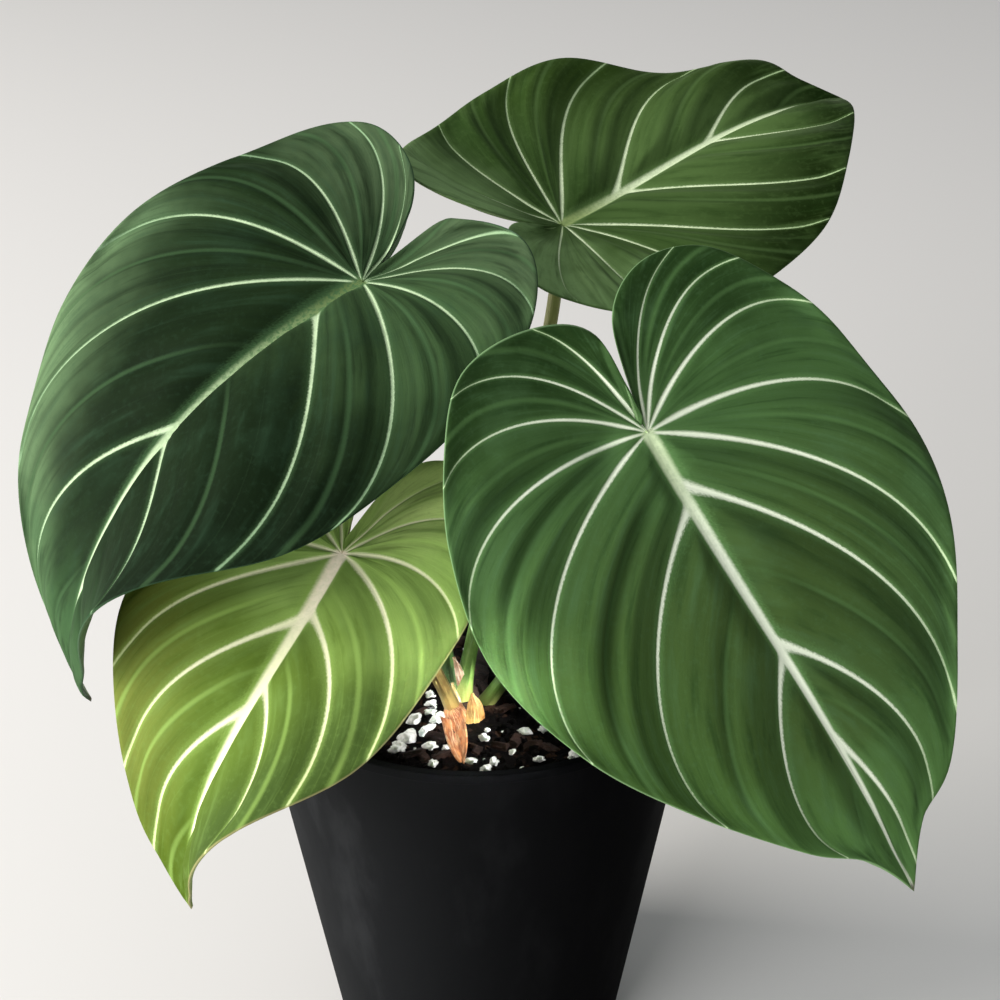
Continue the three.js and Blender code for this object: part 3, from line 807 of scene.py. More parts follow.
@dataclass
class RibTable:
    """Points and directions along a rib, from behind the lobes to the tip."""

    plan: LeafPlan
    steps: int = 160
    back: float = -0.6

    def __post_init__(self) -> None:
        """Walks along the rib."""
        plan = self.plan
        x = np.linspace(self.back, 1.0, self.steps + 1)
        ahead = np.maximum(x, 0)
        last = 16 * np.maximum(x - 0.75, 0) ** 2  # 0 up to three quarters of the rib, and 1 at its tip
        nod, sag, tip_sag = plan.droop
        pitch = plan.pitch + nod * ahead + sag * ahead**2 + tip_sag * last
        pitch = np.radians(pitch + plan.lobe_pitch * np.maximum(-x, 0))
        heading = np.radians(plan.heading + plan.turn[0] * ahead + plan.turn[1] * last)
        roll = np.radians(plan.roll + plan.twist * ahead)[:, None]
        tangent = np.stack(
            [np.cos(pitch) * np.sin(heading), -np.cos(pitch) * np.cos(heading), np.sin(pitch)], axis=1
        )
        level = np.stack([np.cos(heading), np.sin(heading), np.zeros_like(x)], axis=1)
        upright = np.cross(tangent, level)
        steps = (tangent[1:] + tangent[:-1]) / 2 * (1 - self.back) / self.steps * plan.length
        points = np.concatenate([np.zeros((1, 3)), np.cumsum(steps, axis=0)])
        self.x = x * plan.length
        self.point = points - points[np.argmin(np.abs(x))] + np.array(plan.junction)
        self.left = level * np.cos(roll) + upright * np.sin(roll)
        self.normal = upright * np.cos(roll) - level * np.sin(roll)

    def at(self, u: np.ndarray) -> tuple[np.ndarray, np.ndarray, np.ndarray]:
        """Reads the tables.

        Args:
            u: Distances from the petiole.

        Returns:
            Points, leftward directions and normals.
        """
        return tuple(
            np.stack([np.interp(u, self.x, table[:, axis]) for axis in range(3)], axis=-1)
            for table in (self.point, self.left, self.normal)
        )


@dataclass
class Relief:
    """What shapes the surface of a half, for each row and column."""

    bare: np.ndarray  # millimetres from the nearest strong vein
    pleat: np.ndarray  # 1 on a faint vein and 0 away from it
    crease: np.ndarray  # millimetres from the nearest crease


class HalfBlade:
    """One half of a blade: rows that follow the side veins, and columns from rib to margin."""

    LOBE_ROWS, ROWS = 19, 30  # how far the row numbers count in the lobe, and at the tip
    ROW_SPACING = 1.3  # at the margin
    COLUMNS = 44
    BEAD = 0.6  # width of the rounded margin
    CHORD_SHARE = 0.36
    LEAVING_FADE, ARRIVING_FADE, TIP_FADE = 0.9, 40, 0.06  # a vein's bow fades at the sinus and the tip
    SOFTNESS = 1.4  # how round the fold along the rib is
    FLARE, FLARE_REACH = 1.4, 0.05  # how much wider a vein starts at the rib
    MINOR_WIDTH = 0.5
    PLEAT_WIDTH = 2.2
    BEHIND = 2.5  # how fast the rib ends behind the petiole

    def __init__(self, plan: LeafPlan, half: Half, side: int, rib: RibTable) -> None:
        """Lays out the rows of the half.

        Args:
            plan: The leaf.
            half: The half's own numbers.
            side: 1 for the left half and -1 for the right one, as seen from above with the tip ahead.
            rib: The leaf's rib.
        """
        self.plan, self.half, self.side, self.rib = plan, half, side, rib
        radii = np.array([SINUS_DEPTH * plan.length, *half.radii, plan.length])
        angles = np.radians([180, half.sinus, *OUTLINE_ANGLES])
        corners = np.stack([radii * np.cos(angles), side * radii * np.sin(angles)], axis=1)
        self.corners = np.concatenate([corners[:1], corners, corners[-1:]])
        self.shares = np.linspace(0, 1, 201)
        self.lengths = np.concatenate(
            [[0.0], np.cumsum(np.linalg.norm(np.diff(self._spline(self.shares), axis=0), axis=1))]
        )
        first = len(half.veins) - len(half.ribs)
        self.last_from_petiole = half.veins[first - 1]
        self.rib_places = [0, *half.ribs, plan.length]
        self.rib_ends = [self.last_from_petiole, *half.veins[first:], 1]
        lobe_rows = [self.LOBE_ROWS * end / self.last_from_petiole for end in half.veins[:first]]
        ahead = self.ROWS - self.LOBE_ROWS
        self.vein_rows = lobe_rows + [self.LOBE_ROWS + ahead * place / plan.length for place in half.ribs]
        self.rows = self._spread_rows()
        self.outward = self._spread_columns()

    def _spline(self, share: np.ndarray) -> np.ndarray:
        """Follows the flat outline.

        Args:
            share: Shares of its spans.

        Returns:
            Flat points.
        """
        spans = len(self.corners) - 3
        span = np.minimum((share * spans).astype(int), spans - 1)
        t = (share * spans - span)[:, None]
        p0, p1, p2, p3 = (self.corners[span + i] for i in range(4))
        cubic = (-p0 + 3 * p1 - 3 * p2 + p3) * t**3
        return 0.5 * (2 * p1 + (p2 - p0) * t + (2 * p0 - 5 * p1 + 4 * p2 - p3) * t * t + cubic)

    def ends(self, rows: np.ndarray) -> tuple[np.ndarray, np.ndarray]:
        """Finds both ends of rows.

        Args:
            rows: Row numbers.

        Returns:
            Where they leave the rib, and where they end along the outline.
        """
        start = self.plan.length * np.maximum(rows - self.LOBE_ROWS, 0) / (self.ROWS - self.LOBE_ROWS)
        from_petiole = self.last_from_petiole * rows / self.LOBE_ROWS
        return start, np.where(start > 0, np.interp(start, self.rib_places, self.rib_ends), from_petiole)

    def _spread_rows(self) -> np.ndarray:
        """Spreads the rows, closer together beside the veins.

        Returns:
            Their numbers.
        """
        knots = [0.0, *self.vein_rows, float(self.ROWS)]
        rows = []
        for near, far in zip(knots, knots[1:]):
            _, ends = self.ends(np.array([near, far]))
            gap = (ends[1] - ends[0]) * self.lengths[-1]
            count = 4 * max(2, round(gap / self.ROW_SPACING / 4))
            share = np.arange(count) / count
            rows.extend(near + (far - near) * (share - 0.55 * np.sin(8 * np.pi * share) / (8 * np.pi)))
        return np.array([*rows, float(self.ROWS)])

    def _lines(self, rows: np.ndarray) -> tuple[np.ndarray, ...]:
        """Finds the curves that rows follow.

        Args:
            rows: Row numbers.

        Returns:
            Four control points for each, and where they end along the outline.
        """
        start_u, end = self.ends(rows)
        start = np.stack([start_u, np.zeros_like(start_u)], axis=1)
        share = np.interp(end * self.lengths[-1], self.lengths, self.shares)
        edge = self._spline(share)
        chord = (edge - start) * self.CHORD_SHARE
        from_sinus = np.maximum(0, self.half.sinus - np.degrees(np.arctan2(np.abs(edge[:, 1]), edge[:, 0])))
        straighten = self.side * np.minimum(1, (1 - end) / self.TIP_FADE)
        leaving, arriving = self.plan.bow
        back = leaving * level_off(self.LEAVING_FADE * from_sinus / leaving) * straighten
        forward = arriving * level_off(from_sinus / self.ARRIVING_FADE) * straighten

        def turned(degrees: np.ndarray) -> np.ndarray:
            """The chords, turned."""
            c, s = np.cos(np.radians(degrees)), np.sin(np.radians(degrees))
            return np.stack([chord[:, 0] * c - chord[:, 1] * s, chord[:, 0] * s + chord[:, 1] * c], axis=1)

        return start, start + turned(back), edge - turned(-forward), edge, end

    def _spread_columns(self) -> np.ndarray:
        """Spreads the columns, with the last two in the rounded margin.

        Returns:
            Shares of the way from rib to margin, for each row.
        """
        start, _, _, edge, _ = self._lines(self.rows)
        length = np.maximum(np.linalg.norm(edge - start, axis=1), 1e-6)
        bead = np.minimum(self.BEAD / length, 0.3)[:, None]
        inner = (np.arange(self.COLUMNS - 1) / (self.COLUMNS - 2)) ** 1.35
        return np.concatenate([inner[None] * (1 - bead), 1 - bead * 0.25, np.ones_like(bead)], axis=1)

    def _flat(self, rows: np.ndarray, outward: np.ndarray) -> np.ndarray:
        """Follows the curves of rows.

        Args:
            rows: Row numbers.
            outward: Shares of the way from rib to margin, for each row.

        Returns:
            Flat points.
        """
        a, b, c, d, _ = (p[:, None] for p in self._lines(rows))
        t = outward[..., None]
        return a * (1 - t) ** 3 + 3 * b * t * (1 - t) ** 2 + 3 * c * t * t * (1 - t) + d * t**3

    def _wave(self, end: np.ndarray) -> np.ndarray:
        """Follows the margin's wave.

        Args:
            end: Places along the outline.

        Returns:
            Its height there.
        """
        places = np.array(LIFT_PLACES, float)
        values = np.array([0, *self.half.lifts, 0], float)
        step = np.diff(places)
        slope = np.diff(values) / step
        inner = (slope[:-1] * step[1:] + slope[1:] * step[:-1]) / (step[1:] + step[:-1])
        tangent = np.array([slope[0], *inner, slope[-1]])
        i = np.clip(np.searchsorted(places, end) - 1, 0, len(step) - 1)
        t = (end - places[i]) / step[i]
        s = 1 - t
        rise = values[i] * (1 + 2 * t) * s * s + values[i + 1] * t * t * (3 - 2 * t)
        return rise + step[i] * t * s * (tangent[i] * s - tangent[i + 1] * t)

    def middle(self) -> tuple[np.ndarray, np.ndarray]:
        """Bends the middle surface of the blade into place.

        Returns:
            Points and normals, in millimetres, for each row and column.
        """
        flat = self._flat(self.rows, self.outward)
        _, end = self.ends(self.rows)
        plan, half = self.plan, self.half
        point, left, normal = self.rib.at(flat[..., 0])
        across = np.abs(flat[..., 1])
        fold = math.radians(half.fold)
        cup = math.radians(half.cup) / (0.45 * plan.length)
        turned = fold + cup * across
        sideways = (np.sin(turned) - math.sin(fold)) / cup
        rise = (math.cos(fold) - np.cos(turned)) / cup
        rise += self._wave(end)[:, None] * self.outward**2
        rise += half.lobe * (np.minimum(flat[..., 0] / plan.length, 0) / 0.35) ** 2
        depth = self.SOFTNESS * math.sin(math.radians((plan.left.fold + plan.right.fold) / 2))
        rise += depth * (np.hypot(across / self.SOFTNESS, 1) - across / self.SOFTNESS)
        surface = point + self.side * sideways[..., None] * left + rise[..., None] * normal
        facing = np.cross(np.gradient(surface, axis=0), np.gradient(surface, axis=1)) * self.side
        size = np.linalg.norm(facing, axis=-1, keepdims=True)
        on_rib = (across < 1e-6)[..., None] | (size < 1e-9)
        return surface, np.where(on_rib, normal, facing / np.maximum(size, 1e-9))

    def _distance(self, flat: np.ndarray, row: float) -> np.ndarray:
        """Measures from flat points to the curve of a row.

        Args:
            flat: The points.
            row: The row's number.

        Returns:
            Distances in millimetres.
        """
        line = self._flat(np.array([row]), np.linspace(0, 1, 70)[None])[0]
        start, way = line[:-1], np.diff(line, axis=0)
        offset = flat[..., None, :] - start
        share = np.clip(np.sum(offset * way, -1) / np.maximum(np.sum(way * way, -1), 1e-12), 0, 1)
        return np.linalg.norm(offset - share[..., None] * way, axis=-1).min(axis=-1)

    def _side_veins(self, flat: np.ndarray) -> tuple[np.ndarray, np.ndarray]:
        """Measures how far the side veins are.

        Args:
            flat: Flat points.

        Returns:
            Distances from the nearest one, in its half widths and in millimetres.
        """
        at_rib, at_margin = self.plan.vein_width
        width = at_rib + (at_margin - at_rib) * self.outward**0.6
        from_petiole = len(self.vein_rows) - len(self.half.ribs)
        vein = bare = np.full(self.outward.shape, FAR)
        for number, row in enumerate(self.vein_rows):
            share = self.half.vein_share * min(1.0, 0.55 + 0.15 * number)
            if number < from_petiole:
                share = share * (0.4 + 0.6 * smooth(self.outward, 0.0, 0.14))
            else:
                share = share * (1 + self.FLARE * np.exp(-self.outward / self.FLARE_REACH))
            away = self._distance(flat, row)
            vein = np.minimum(vein, away / (width * share))
            bare = np.minimum(bare, away)
        return vein, bare

    def _faint_veins(self, flat: np.ndarray) -> tuple[np.ndarray, np.ndarray]:
        """Measures how far the faint veins are, three between each two side veins.

        Args:
            flat: Flat points.

        Returns:
            Distances from the nearest one, in its half widths, and the pleats that they lie in.
        """
        minor, pleat = np.full(self.outward.shape, FAR), np.zeros(self.outward.shape)
        knots = [0.0, *self.vein_rows, float(self.ROWS)]
        for near, far in zip(knots, knots[1:]):
            for share, offset, weight in ((0.5, 0.0, 1.0), (0.25, 1.5, 0.3), (0.75, 1.5, 0.3)):
                away = self._distance(flat, near + (far - near) * share)
                minor = np.minimum(minor, away / self.MINOR_WIDTH + offset)
                pleat = np.maximum(pleat, weight * np.exp(-((away / self.PLEAT_WIDTH) ** 2)))
        return minor, pleat

    def marks(self) -> tuple[dict[Mark, np.ndarray], Relief]:
        """Measures each row and column.

        Returns:
            What it remembers of its place, and what shapes the surface there.
        """
        plan = self.plan
        flat = self._flat(self.rows, self.outward)
        start, _, _, edge, _ = self._lines(self.rows)
        length = np.linalg.norm(edge - start, axis=1)[:, None]
        u, across = flat[..., 0], flat[..., 1]
        ahead, behind = np.clip(u / plan.length, 0, 1), self.BEHIND * np.minimum(u, 0)
        vein, bare = self._side_veins(flat)
        minor, pleat = self._faint_veins(flat)
        crease = np.full(self.outward.shape, FAR)
        for row in self.half.creases:
            crease = np.minimum(crease, self._distance(flat, row))
        shift = plan.rib_shift * smooth(ahead, 0.45, 0.65) * (1 - smooth(ahead, 0.9, 1.0))
        at_petiole, at_tip = plan.rib_width
        rib_width = at_petiole + (at_tip - at_petiole) * ahead**0.8 + 0.2 * shift
        marks = {
            Mark.VEIN: vein,
            Mark.MINOR: minor,
            Mark.RIB: np.hypot(across - shift, behind) / rib_width,
            Mark.EDGE: (1 - self.outward) * length,
            Mark.OUTWARD: self.outward,
            Mark.ALONG: u / plan.length,
            Mark.SIDE: np.full(self.outward.shape, (1 - self.side) / 2),
        }
        return marks, Relief(np.minimum(bare, np.hypot(across, behind)), pleat, crease)


class Leaf:
    """A blade with its stalk."""

    THICKNESS = 0.8
    PUFF, PUFF_WIDTH, PUFF_SINK = 2.8, 5.5, 0.4  # how the blade swells between its veins
    GROOVE, MINOR_GROOVE = 0.5, 1.0  # how deep the veins lie in the upper side
    RIDGE, RIB_RIDGE = 0.55, 1.5  # how far they stand out beneath
    VEIN_SPREAD, RIB_SPREAD = 1.25, 1.5  # how wide their relief is, in their half widths
    CREASE, CREASE_WIDTH = 3.0, 2.0
    RIM = 9.0  # millimetres from the margin in which the swelling dies away
    STALK_RADII = ((0.0, 0.12, 0.93, 1.0), (2.5, 1.95, 1.75, 2.1))
    STALK_CELLS = (20, 90)
    STALK_FOOT = 4  # height over the soil up to which the stalk has the colour of its foot
    STALK_SINK = 2.2  # how far below the blade's middle the stalk ends, inside the raised veins

    def __init__(self, plan: LeafPlan, finish: LeafFinish, stalk_finish: StalkFinish) -> None:
        """Keeps the plan and the finishes."""
        self.plan, self.finish, self.stalk_finish = plan, finish, stalk_finish

    def _sides(self, half: HalfBlade) -> tuple[np.ndarray, np.ndarray, dict[Mark, np.ndarray]]:
        """Raises both sides of a half from its middle, with its relief.

        Args:
            half: The laid out half.

        Returns:
            Points of the upper side, points of the underside, and the marks.
        """
        surface, normal = half.middle()
        marks, relief = half.marks()
        edge, outward, along = marks[Mark.EDGE], marks[Mark.OUTWARD], marks[Mark.ALONG]
        inside = smooth(edge, 0.0, self.RIM)
        quilt = self.PUFF * (1 - np.exp(-((relief.bare / self.PUFF_WIDTH) ** 2)) - self.PUFF_SINK) * inside
        quilt *= 1 - self.plan.calm_tip * smooth(along, 0.35, 0.6)
        minor = relief.pleat * smooth(outward, 0.04, 0.3) * inside
        crease = np.exp(-((relief.crease / self.CREASE_WIDTH) ** 2)) * smooth(outward, 0.05, 0.2)
        crease *= 1 - smooth(outward, 0.5, 0.85)
        quilt -= self.MINOR_GROOVE * minor + self.CREASE * crease
        vein = np.exp(-((marks[Mark.VEIN] / self.VEIN_SPREAD) ** 2)) * smooth(edge, 0.0, 4.0)
        rib = np.exp(-((marks[Mark.RIB] / self.RIB_SPREAD) ** 2))
        thin = np.sqrt(np.clip(edge / half.BEAD, 0, 1))
        body = self.THICKNESS / 2 * thin
        above = quilt + body - self.GROOVE * np.maximum(vein, rib) * thin
        taper = 1 - 0.8 * np.clip(along, 0, 1)
        ridges = self.RIDGE * vein * (1 - 0.6 * outward) + self.RIB_RIDGE * rib * taper
        below = quilt - body - ridges * thin
        return surface + normal * above[..., None], surface + normal * below[..., None], marks

    def _blade(self) -> None:
        """Models both halves of the blade, each with an upper side and an underside, in one mesh."""
        bm = bmesh.new()
        uv = bm.loops.layers.uv.new(GRAIN)
        layers = {mark: bm.verts.layers.float.new(mark.value) for mark in Mark}
        rib = RibTable(self.plan)
        for numbers, side in ((self.plan.left, 1), (self.plan.right, -1)):
            half = HalfBlade(self.plan, numbers, side, rib)
            upper, lower, marks = self._sides(half)
            _, ends = half.ends(half.rows)
            across = ends * half.lengths[-1] / 10 + (1 + side) * 20
            reach = marks[Mark.OUTWARD] * self.plan.length / 20
            last_row, last_column = (size - 1 for size in half.outward.shape)
            for material, points in enumerate((upper, lower)):
                made = bmesh.ops.create_grid(bm, x_segments=last_row, y_segments=last_column, size=1)
                spots = {}
                for vert in made["verts"]:
                    spot = (round((vert.co.x + 1) / 2 * last_row), round((vert.co.y + 1) / 2 * last_column))
                    spots[vert] = spot
                    vert.co = points[spot] * MM
                    for mark, layer in layers.items():
                        vert[layer] = marks[mark][spot]
                for face in {face for vert in made["verts"] for face in vert.link_faces}:
                    face.material_index = material
                    for loop in face.loops:
                        row, column = spots[loop.vert]
                        loop[uv].uv = (across[row], reach[row, column])
        materials = [self.finish.upper(), self.finish.under()]
        letter = self.plan.letter
        finish_piece(f"leaf_{letter}", bm, materials, self.finish.slot, f"blade_{letter}")

    def _stalk(self) -> None:
        """Models the stalk, from the creeping stem to the back of the blade."""
        bm = bmesh.new()
        _, _, normal = RibTable(self.plan).at(np.zeros(1))
        end = Vector(self.plan.junction) - Vector(normal[0]) * self.STALK_SINK
        path = SmoothPath([*self.plan.petiole, tuple(end)])

        def radius(turn: float, along: float) -> float:
            """Radius of the fluted stalk."""
            flutes = 0.04 * math.cos(turn * 2 * math.pi * 5)
            return float(np.interp(along, *self.STALK_RADII)) * (1 + flutes)

        lay_tube(bm, path, radius, self.STALK_CELLS, Vector((0, 1, 0)))
        letter = self.plan.letter
        material = self.stalk_finish.material(SOIL_LEVEL + self.STALK_FOOT)
        finish_piece(f"stalk_{letter}", bm, [material], self.stalk_finish.slot, f"petiole_{letter}")

    def build(self) -> None:
        """Builds the blade and the stalk."""
        self._blade()
        self._stalk()


# ---------------------------------------------------------------- pot

POT_HEIGHT = 128
LIP_INNER_RADIUS = 62.6
WALL_TOP_RADIUS = 63.8
TAPER = 0.1656
WALL = 1.9
STEP = 0.6
FLOOR_TOP = 4.6
GAP = 0.3


def wall_radius(z: float) -> float:
    """Outer radius of the upper band, carried on down."""
    return WALL_TOP_RADIUS - TAPER * (POT_HEIGHT - z)


def inner_radius(z: float) -> float:
    """Inner radius of the pot."""
    return min(LIP_INNER_RADIUS, wall_radius(z) - STEP - WALL)


@dataclass(frozen=True)
class Pot:
    """A tapered black pot with a small rolled lip, a faint step and drain holes."""

    lip_radius: float = 65
    lip_height: float = 3.4
    band_height: float = 25
    foot_height: float = 2
    foot_width: float = 4
    pad_radius: float = 15
    drain_holes: int = 5
    drain_radius: float = 4.5
    drain_circle: float = 27
    segments: int = 144
    rounding: float = 0.45

    CORNER: ClassVar[float] = math.radians(24)  # edges that turn further are rounded
    SHARP: ClassVar[float] = math.radians(35)  # edges that turn further aren't shaded smooth

    def _profile(self) -> list[Pair]:
        """Lays out the wall in section, from the foot up the outside and down the inside.

        Returns:
            Radius and height of each corner.
        """
        step_level = POT_HEIGHT - self.band_height
        foot = wall_radius(0) - STEP
        under_lip = POT_HEIGHT - self.lip_height
        return [
            (foot - self.foot_width, 0),
            (foot - 0.3, 0),
            (foot, 0.8),
            (wall_radius(step_level) - STEP, step_level),
            (wall_radius(step_level), step_level + 1),
            (wall_radius(under_lip), under_lip),
            (self.lip_radius, under_lip + 0.6),
            (self.lip_radius, POT_HEIGHT),
            (LIP_INNER_RADIUS, POT_HEIGHT),
            (inner_radius(under_lip), under_lip - 2),
            (inner_radius(FLOOR_TOP), FLOOR_TOP),
            (0, FLOOR_TOP),
            (0, 0),
            (self.pad_radius, 0),
            (self.pad_radius + 0.8, self.foot_height),
            (foot - self.foot_width - 0.8, self.foot_height),
        ]

    def _drain(self, number: int) -> bpy.types.Object:
        """Makes a short bar where a drain hole goes.

        Args:
            number: The hole's number.

        Returns:
            The bar.
        """
        bm = bmesh.new()
        angle = 2 * math.pi * number / self.drain_holes
        spot = Vector((math.cos(angle), math.sin(angle), 0)) * self.drain_circle * MM
        radius = self.drain_radius * MM
        size = {"segments": 40, "radius1": radius, "radius2": radius, "depth": 0.02}
        bmesh.ops.create_cone(bm, cap_ends=True, matrix=Matrix.Translation(spot), **size)
        return put_in_scene("drain", mesh_of("drain", bm))

    def build(self) -> None:
        """Spins the profile, rounds its corners and cuts the drain holes."""
        bm = bmesh.new()
        verts = [bm.verts.new((radius * MM, 0, z * MM)) for radius, z in self._profile()]
        edges = [bm.edges.new(pair) for pair in zip(verts, verts[1:] + verts[:1])]
        turn = {"cent": (0, 0, 0), "axis": (0, 0, 1), "angle": 2 * math.pi, "use_merge": True}
        bmesh.ops.spin(bm, geom=verts + edges, steps=self.segments, **turn)
        bmesh.ops.remove_doubles(bm, verts=bm.verts[:], dist=WELD * MM)
        bmesh.ops.dissolve_degenerate(bm, edges=bm.edges[:], dist=WELD * MM)
        bmesh.ops.recalc_face_normals(bm, faces=bm.faces[:])
        sharp = [edge for edge in bm.edges if edge.calc_face_angle(0) > self.CORNER]
        soften = {"affect": "EDGES", "segments": 3, "profile": 0.5, "material": -1}
        bmesh.ops.bevel(bm, geom=sharp, offset=self.rounding * MM, **soften)
        blank = finish_piece("pot_blank", bm, [Finish.pot()], None)
        drains = [self._drain(number) for number in range(self.drain_holes)]
        for drain in drains:
            cut = blank.modifiers.new("drain", "BOOLEAN")
            cut.operation = "DIFFERENCE"
            cut.object = drain
        bpy.context.view_layer.update()
        whole = bmesh.new()
        whole.from_mesh(blank.evaluated_get(bpy.context.evaluated_depsgraph_get()).to_mesh())
        material = blank.data.materials[0]
        for scrap in (blank, *drains):
            bpy.data.objects.remove(scrap)
        pot = finish_piece("pot_shell", whole, [material], Slot.POT, "pot")
        pot.data.set_sharp_from_angle(angle=self.SHARP)


# ---------------------------------------------------------------- potting mix

SOIL_LEVEL = 118.5


def soil_height(x: float, y: float) -> float:
    """Height of the soil's surface, without its crumbs."""
    waves = math.sin(x / 10 + 0.6) * math.cos(y / 12 - 0.4)
    return SOIL_LEVEL + 0.9 * waves + 1.6 * math.exp(-(x * x + (y + 6) ** 2) / 24**2)


@dataclass(frozen=True)
class Lump:
    """One lump in the open place before the stalks."""

    x: float
    y: float
    size: float  # half its width
    stretch: float = 1.2  # its length against its width
    turn: float = 0.0  # degrees


@dataclass(frozen=True)
class PottingMix:
    """Dark mix that fills the pot, with crumbs, perlite and bark in its surface."""

    cells: int = 150
    crumb_count: int = 1100
    perlite_count: int = 150
    bark_count: int = 46
    chip_count: int = 54
    bark_every: int = 3
    open_place: Point = (-26, 24, -4)  # left, right and back
    dust_count: int = 70
    perlite_in_view: Sequence[Lump] = ()
    bark_in_view: Sequence[Lump] = ()
    feet: Sequence[Point] = ()

    BLOCK: ClassVar[float] = 0.5  # how blunt a flake of bark is

    def _grit(self, x: float, y: float) -> float:
        """Makes the surface rough.

        Args:
            x: The place's distance to the right.
            y: Its distance to the back.

        Returns:
            How far the surface stands over the plain one, in millimetres.
        """
        spot = Vector((x, y, 0))
        coarse = noise.fractal(spot * 0.16, 1.0, 2.0, 4)
        grains = noise.voronoi(spot * 0.55)[0][0]
        fine = noise.voronoi(spot * 1.1 + Vector((7, 3, 0)))[0][0]
        return 1.1 * coarse + 1.0 * (0.4 - grains) + 0.5 * (0.35 - fine)

    def _bed(self) -> None:
        """Models the body of soil, with a rough top and plain hidden sides."""
        bm = bmesh.new()
        brim = inner_radius(SOIL_LEVEL) - GAP

        def place(across: float, along: float) -> Vector:
            """A place on the rough top, with the square grid drawn out to a disc."""
            x, y = 2 * across - 1, 2 * along - 1
            x, y = brim * x * math.sqrt(1 - y * y / 2), brim * y * math.sqrt(1 - x * x / 2)
            inside = float(smooth(brim - math.hypot(x, y), 0.0, 2.5))
            return Vector((x, y, soil_height(x, y) + self._grit(x, y) * inside))

        lay_sheet(bm, (self.cells, self.cells), place, (brim / 5, brim / 5))
        rim = [edge for edge in bm.edges if edge.is_boundary]
        skirt = bmesh.ops.extrude_edge_only(bm, edges=rim)["geom"]
        bottom = FLOOR_TOP + GAP
        shrink = (inner_radius(bottom) - GAP) / brim
        for vert in (item for item in skirt if isinstance(item, bmesh.types.BMVert)):
            vert.co = (vert.co.x * shrink, vert.co.y * shrink, bottom * MM)
        bmesh.ops.holes_fill(bm, edges=[edge for edge in bm.edges if edge.is_boundary], sides=0)
        finish_piece("potting_mix", bm, [Finish.soil()], Slot.SOIL, "soil")

    def _in_view(self, x: float, y: float) -> bool:
        """Whether a place lies in the open, before the stalks."""
        left, right, back = self.open_place
        return left < x < right and y < back

    def _clear(self, x: float, y: float, room: float) -> bool:
        """Whether a place is free of stalks."""
        return all(math.hypot(x - foot[0], y - foot[1]) > room for foot in self.feet)

    def _lump(
        self,
        bm: bmesh.types.BMesh,
        detail: int,
        spot: Vector,
        size: Vector,
        dice: random.Random,
        blunt: float = 1.0,
        heading: float | None = None,
    ) -> None:
        """Adds an irregular lump.

        Args:
            bm: The mesh that takes it.
            detail: Subdivisions of the ball that it starts from.
            spot: Its middle, in millimetres.
            size: Its half sizes, in millimetres.
            dice: The source of its shape.
            blunt: 1 for a ball, and less for a block.
            heading: Degrees from +X at which it lies, or none for any.
        """
        about = dice.uniform(0, 2 * math.pi) if heading is None else math.radians(heading)
        turn = Matrix.Rotation(about, 4, "Z") @ Matrix.Rotation(dice.uniform(-0.5, 0.5), 4, "X")
        ball = bmesh.ops.create_icosphere(bm, subdivisions=detail, radius=1)["verts"]
        seed = Vector((dice.uniform(0, 50), dice.uniform(0, 50), dice.uniform(0, 50)))
        for vert in ball:
            swell = 1 + 0.55 * noise.noise(vert.co * 1.3 + seed) + 0.25 * noise.noise(vert.co * 3.1 + seed)
            body = [math.copysign(abs(part) ** blunt, part) * swell for part in vert.co]
            vert.co = (turn @ Vector(a * b for a, b in zip(body, size)) + spot) * MM

    def _spots(self, count: int, room: float, dice: random.Random) -> list[Pair]:
        """Finds random places on the surface, clear of the stalks.

        Args:
            count: How many.
            room: How much room each takes, in millimetres.
            dice: The source of the places.

        Returns:
            The places.
        """
        brim = inner_radius(SOIL_LEVEL) - GAP - room
        spots = []
        while len(spots) < count:
            radius, angle = brim * math.sqrt(dice.random()), dice.uniform(0, 2 * math.pi)
            spot = (radius * math.cos(angle), radius * math.sin(angle))
            if self._clear(*spot, room + 2.2):
                spots.append(spot)
        return spots

    def _crumbs(self) -> None:
        """Strews the loose dark crumbs."""
        bm = bmesh.new()
        dice = random.Random(11)
        for x, y in self._spots(self.crumb_count, 1.2, dice):
            size = 0.5 + 1.1 * dice.random() ** 2
            height = soil_height(x, y) + self._grit(x, y) + 0.1 * size
            shape = Vector((size * dice.uniform(0.8, 1.6), size, size * dice.uniform(0.5, 0.9)))
            self._lump(bm, 1, Vector((x, y, height)), shape, dice)
        finish_piece("soil_crumbs", bm, [Finish.soil()], Slot.SOIL)

    def _chip_spots(self) -> list[tuple[int, float, float, float]]:
        """Lays out the chips that the solid soil has too.

        Returns:
            Number, place and size of each.
        """
        reach = inner_radius(SOIL_LEVEL) - GAP - 2.7 - 1.5
        golden = math.pi * (3 - math.sqrt(5))
        chips = []
        for i in range(self.chip_count):
            radius = reach * math.sqrt((i + 0.5) / self.chip_count)
            angle = i * golden + 0.4 * scatter(i, 1)
            size = 1.3 + 1.4 * scatter(i, 2) ** 2
            chips.append((i, radius * math.cos(angle), radius * math.sin(angle), size))
        return chips

